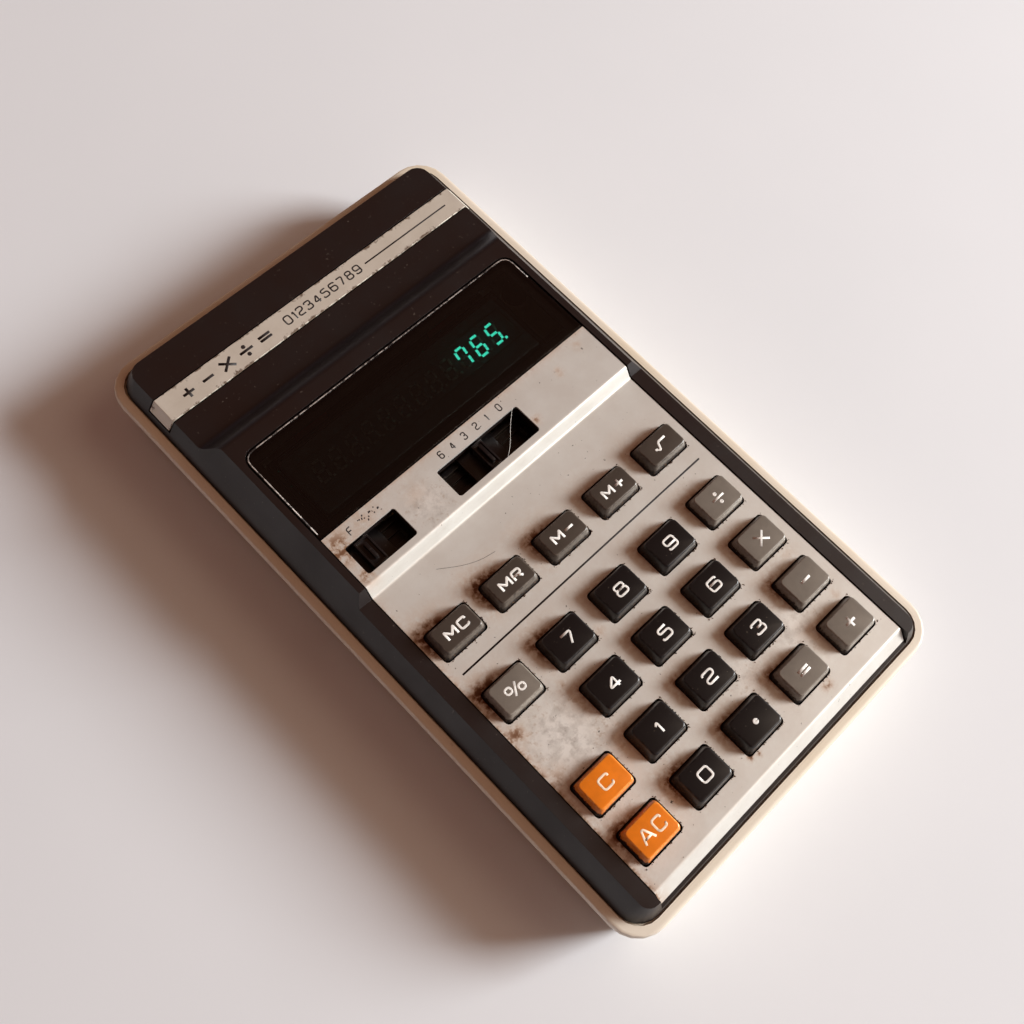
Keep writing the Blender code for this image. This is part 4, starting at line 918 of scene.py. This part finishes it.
def make_hairs(looks):
    """Two stray hairs: a dark one by the step and a pale one across the wider switch window."""
    shelf, half = corners("face_plate")[1].z, 0.02 * MM
    places = (
        ("dark_hair", looks["print"], PLATE_TOP,
         [(-22.5, -0.3), (-18.4, -3.1), (-15.1, -4.6), (-11.8, -5.2)]),
        ("pale_hair", looks["legend"], shelf, [(3, 6.7), (5.1, 8.2), (8.2, 11.4), (11.1, 13.8)]))
    for name, look, level, points in places:
        path = rounded_path([(x * MM, y * MM) for x, y in points], 1.8 * MM)
        fit(inked(name, [(path, 1.0)], 0.07 * MM, level + half, half), "case", "face_metal", look)


def make_window(looks):
    """The smoked lens with its worn silver line, over a dark well."""
    low, high = corners("display_window")
    lens = block("smoked_lens", low, high)
    edit(lens)

    def far_corner(edge):
        return all(vert.co.y > high.y - NEAR for vert in edge.verts) and (
            abs(edge.verts[0].co.x - edge.verts[1].co.x) < NEAR)

    pick(lens, "EDGE", far_corner)
    bpy.ops.mesh.bevel(offset=2.5 * MM, segments=8, affect="EDGES")
    pick(lens, "EDGE", lambda edge: all(vert.co.z > high.z - NEAR for vert in edge.verts))
    bpy.ops.mesh.bevel(offset=0.2 * MM, segments=2, affect="EDGES")
    leave()
    smooth(outward(lens))
    fit(lens, "case", "smoked_window", looks["window"], "display_window")
    inset, corner = 0.3 * MM, 2.3 * MM
    outline = [
        (low.x + inset, low.y + MM), (low.x + inset, high.y - inset), (high.x - inset, high.y - inset),
        (high.x - inset, high.y - 7 * MM)]
    path = rounded_path(outline, corner)
    bead = inked("lens_line", [(path, 1.0)], 0.24 * MM, high.z, 0.02 * MM)
    fit(bead, "case", "face_metal", looks["bead"])


def segment_paths(x, y, which):
    """Chosen segments of one slanted digit, lettered a to g from the top, clockwise."""
    half_x, half_y = DIGIT_SIZE[0] / 2 - SEGMENT / 2, DIGIT_SIZE[1] / 2 - SEGMENT / 2
    gap = 0.55 * SEGMENT
    ends = {
        "a": ((-half_x + gap, half_y), (half_x - gap, half_y)),
        "b": ((half_x, half_y - gap), (half_x, gap)),
        "c": ((half_x, -gap), (half_x, -half_y + gap)),
        "d": ((half_x - gap, -half_y), (-half_x + gap, -half_y)),
        "e": ((-half_x, -half_y + gap), (-half_x, -gap)),
        "f": ((-half_x, gap), (-half_x, half_y - gap)),
        "g": ((-half_x + gap, 0), (half_x - gap, 0)),
        "p": ((half_x + 0.9 * SEGMENT, -half_y), (half_x + 1.9 * SEGMENT, -half_y))}
    lean = tan(radians(DIGIT_SLANT))
    return [line(*((x + u + v * lean, y + v) for u, v in ends[letter])) for letter in which]


def make_tube(looks):
    """The fluorescent tube: glass envelope, dark plate, twelve digits, grid frame and filaments."""
    low, high = corners("display_tube")
    wall = 0.7 * MM
    glass = block("tube_envelope", low, high)
    rounded_edges(glass, 0.9 * MM, segments=3)
    fit(glass, "case", "tube_glass", looks["glass"], "display_tube")
    level = high.z - DIGIT_DEPTH
    inside = low + Vector((wall, wall, wall))
    back = block("tube_anode_plate", inside, (high.x - wall, high.y - wall, level))
    rounded_edges(back, 0.3 * MM, segments=3)
    fit(back, "case", "tube_glass", looks["anode"])
    lit = {DIGITS - 3: "abcf", DIGITS - 2: "acdefg", DIGITS - 1: "acdfgp"}
    ghosts, glows = [], []
    for i in range(DIGITS):
        x = FIRST_DIGIT + i * DIGIT_PITCH
        shown = lit.get(i, "")
        glows += segment_paths(x, DIGIT_Y, shown)
        dark = [letter for letter in "abcdefgp" if letter not in shown]
        ghosts += segment_paths(x, DIGIT_Y, dark)
    for name, paths, look in (("resting_digits", ghosts, "ghost"), ("lit_digits", glows, "lit")):
        fit(inked(name, paths, SEGMENT, level, 0.05 * MM), "case", "tube_glass", looks[look])
    half = DIGIT_SIZE[1] / 2 + 1.4 * MM
    ends, sides = (low.x + 3 * MM, high.x - 2 * MM), (DIGIT_Y - half, DIGIT_Y + half)
    rails = [line(*((x, y) for x in ends)) for y in sides]
    rails += [line(*((x, y) for y in sides)) for x in ends]
    grid = inked("tube_grid_frame", rails, 0.3 * MM, level + 0.35 * MM, 0.1 * MM)
    spread = 1.5 * MM
    wires = [line((low.x + 2 * MM, y), (high.x - MM, y)) for y in (DIGIT_Y - spread, DIGIT_Y + spread)]
    filament = inked("tube_filaments", wires, 0.05 * MM, level + 0.9 * MM, 0.025 * MM)
    fit(joined(grid, filament), "case", "switch_steel", looks["dark_steel"])


def make_knob(node, name, slot, look):
    """A slider: guide plate, upright stem with a dished top and a finger ridge across it."""
    low, high = corners(node)
    middle = (low + high) / 2
    plate_top = low.z + 0.8 * MM
    ridge_top = high.z
    stem_top = ridge_top - 0.6 * MM
    wide = {"rounding": 3.4 * MM, "decimal": 2.6 * MM}[node.split("_")[0]]
    half_y = 3.1 * MM
    plate = block(name, low, (high.x, high.y, plate_top))
    rounded_edges(plate, 0.12 * MM)
    stem = block(
        "stem", (middle.x - wide / 2, middle.y - half_y, plate_top - 0.3 * MM),
        (middle.x + wide / 2, middle.y + half_y, stem_top))
    edit(stem)
    pick(stem, "FACE", lambda part: part.normal.z > 0.9)
    rim, dish, ridge_half = 0.42 * MM, 0.5 * MM, 0.38 * MM
    bpy.ops.mesh.inset(thickness=rim)
    extrude(z=-dish)
    bpy.ops.mesh.inset(thickness=wide / 2 - rim - ridge_half)
    extrude(z=ridge_top - stem_top + dish)
    leave()
    rounded_edges(stem, 0.1 * MM)
    boolean(plate, stem, "UNION")
    fit(smooth(plate), node, slot, look, node)


def make_switch_body(node, name, look):
    """The selector's housing: a black frame round a slotted floor."""
    low, high = corners(node)
    body = block(name, low, high)
    edit(body)
    pick(body, "FACE", lambda part: part.normal.z > 0.9)
    bpy.ops.mesh.inset(thickness=1.2 * MM)
    extrude(z=-1.4 * MM)
    bpy.ops.mesh.inset(thickness=1.6 * MM)
    extrude(z=-0.8 * MM)
    leave()
    rounded_edges(body, 0.12 * MM)
    fit(body, "case", "black_plastic", look, node)


def make_crumbs(look):
    """Dried dirt on the plate, packed along the near and right-hand side of each key hole."""
    chance = random.Random(11)
    clear()
    bpy.ops.mesh.primitive_ico_sphere_add(subdivisions=1, radius=1)
    grain = bpy.context.object
    crumbs = bmesh.new()

    def drop(x, y, z, size):
        turn = Euler([chance.uniform(0, pi) for _ in range(3)]).to_matrix().to_4x4()
        shape = Matrix.Diagonal(
            (size * chance.uniform(0.6, 1.4), size * chance.uniform(0.5, 1), size * 0.6, 1))
        before = len(crumbs.verts)
        crumbs.from_mesh(grain.data)
        crumbs.verts.ensure_lookup_table()
        for vert in crumbs.verts[before:]:
            vert.co = Matrix.Translation((x, y, z)) @ turn @ shape @ (vert.co * chance.uniform(0.7, 1.2))

    for _, middle, half in key_spans():
        reach = (half[0] + BEZEL, half[1] + BEZEL)
        count = chance.randint(22, 38)
        for _ in range(count):
            share = chance.uniform(-1, 1)
            if chance.random() < 0.5:
                x, y = middle.x + reach[0] + chance.gauss(0.05, 0.1) * MM, middle.y + share * reach[1]
            else:
                x, y = middle.x + share * reach[0], middle.y - reach[1] - chance.gauss(0.05, 0.1) * MM
            drop(x, y, PLATE_TOP + 0.02 * MM, chance.uniform(0.07, 0.22) * MM)
    for _ in range(70):
        x, y = chance.uniform(-34, 34) * MM, chance.uniform(-69, 2) * MM
        if all(max(abs(x - middle.x) - half[0], abs(y - middle.y) - half[1]) > 0.6 * MM
               for _, middle, half in key_spans()):
            drop(x, y, PLATE_TOP + 0.01 * MM, chance.uniform(0.04, 0.12) * MM)
    bpy.data.objects.remove(grain)
    data = bpy.data.meshes.new("key_dirt")
    crumbs.to_mesh(data)
    crumbs.free()
    dirt = bpy.data.objects.new("key_dirt", data)
    bpy.context.scene.collection.objects.link(dirt)
    fit(dirt, "case", "face_metal", look)


def make_screws(look):
    """Each screw with a cross recess sunk in its head."""
    for i in range(1, 5):
        node = f"case_screw_{i}"
        low, high = corners(node)
        middle = (low + high) / 2
        screw = copied(node, f"cross_screw_{i}")
        long, wide, deep = 1.5 * MM, 0.3 * MM, 0.8 * MM
        for reach in ((long, wide), (wide, long)):
            slot = block(
                "slot", (middle.x - reach[0], middle.y - reach[1], low.z - MM),
                (middle.x + reach[0], middle.y + reach[1], low.z + deep))
            boolean(screw, slot, "DIFFERENCE")
        smooth(screw)
        fit(screw, "case", "screw_steel", look, node)


def make_door(look):
    """The battery door with five finger grooves across its outer face."""
    back = corners("battery_door")[1].y
    door = copied("battery_door", "grooved_door")
    cutters = []
    half, wide, deep, pitch = 9 * MM, 0.8 * MM, 0.4 * MM, 1.6 * MM
    for i in range(5):
        y = back - 12 * MM + i * pitch
        cutters.append(round_block("groove", (-half, y, -MM), (half, y + wide, deep), 0.35 * MM))
    boolean(door, joined(*cutters), "DIFFERENCE")
    rounded_edges(door, 0.18 * MM)
    fit(door, "battery_door", "cream_shell", look, "battery_door")


def dress_inner_pieces(looks):
    """Frame nodes whose shape is right keep it and take a real finish."""
    dressed = {
        "board": ("keyboard_board", "main_board"), "rubber": ("contact_sheet",),
        "chip": ("processor_chip", "driver_chip"), "ferrite": ("converter_transformer",),
        "sleeve": ("filter_capacitor",), "steel": ("power_switch_body",),
        "plated": ("battery_spring_1", "battery_spring_2", "contact_link", "contact_plus", "contact_minus"),
        "plastic": ("display_holder", "adapter_jack", "power_switch_knob"),
        "cell": ("battery_cell_1", "battery_cell_2")}
    for look, nodes in dressed.items():
        for node in nodes:
            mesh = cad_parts[node].data
            for i in range(len(mesh.materials)):
                mesh.materials[i] = looks[look]


place_camera()
place_sky()
place_light("window_light", **WINDOW_LIGHT)
place_light("room_light", **ROOM_LIGHT)
make_floor()

looks = {
    "black_shell": black_abs(), "cream_shell": cream_abs(), "plate": worn_aluminium(),
    "trim": trim_aluminium(), "window": smoked_acrylic(), "glass": tube_glass(),
    "umber": key_abs("umber_key_abs", "#463E37", "#7A7064"),
    "grey": key_abs("grey_key_abs", "#7A7268", "#A49C90"),
    "black": key_abs("black_key_abs", "#0A0A0C", "#38383A"),
    "orange": key_abs("orange_key_abs", "#F0811A", "#FFB45E"),
    "legend": legend_abs("white_legend", "#F0EDE6"), "cream_legend": legend_abs("cream_legend", "#FBE3C6"),
    "print": legend_abs("black_print", "#2A2422"), "plastic": black_plastic(), "lit": lit_phosphor(),
    "ghost": powder("resting_phosphor", "#A9B2AE", "#868E8A", 0.6 * MM, 0.9),
    # the anode plate's light blue-grey stands in for the room's reflection in the window: painted
    # reflection
    "anode": powder("ceramic_with_painted_reflection", "#485A66", "#3E4E58", 1.5 * MM, 0.7),
    "rubber": powder("grey_silicone", "#5E5E5E", "#4E4E4E", 4 * MM, 0.75),
    "chip": powder("moulded_epoxy", "#232323", "#1A1A1A", 0.5 * MM, 0.6),
    "ferrite": powder("ferrite", "#3A3B3D", "#2B2C2E", 0.8 * MM, 0.5),
    "sleeve": powder("vinyl_sleeve", "#27407A", "#1F3566", 3 * MM, 0.35),
    "steel": drawn_metal("pressed_steel", "#B4B4B0", 0.32),
    "dark_steel": drawn_metal("oxidised_steel", "#6A6C6C", 0.4),
    "bead": worn_bead(),
    "plated": drawn_metal("nickel_plate", "#CFC8B8", 0.22),
    "screw": drawn_metal("zinc_plate", "#BDBDB6", 0.3),
    "dirt": powder("dried_dirt", "#5A3F28", "#2A1B12", 0.3 * MM, 0.7),
    "board": phenolic_board(), "cell": cell_jacket(),
}

make_shell("bottom_case", "lower_shell", "cream_shell", looks["cream_shell"])
make_shell("top_case", "upper_shell", "black_shell", looks["black_shell"])
make_face_plate(looks["plate"])
make_shell("trim_strip", "eased_strip", "trim_metal", looks["trim"], 0.12 * MM, 30, 2)
make_keys(looks)
make_print(looks)
make_hairs(looks)
make_window(looks)
make_tube(looks)
make_knob("rounding_switch_knob", "rounding_slider", "black_plastic", looks["plastic"])
make_knob("decimal_switch_knob", "decimal_slider", "black_plastic", looks["plastic"])
make_switch_body("rounding_switch_body", "rounding_housing", looks["plastic"])
make_switch_body("decimal_switch_body", "decimal_housing", looks["plastic"])
make_crumbs(looks["dirt"])
make_door(looks["cream_shell"])
make_screws(looks["screw"])
dress_inner_pieces(looks)

bpy.context.scene.view_settings.view_transform = "Standard"
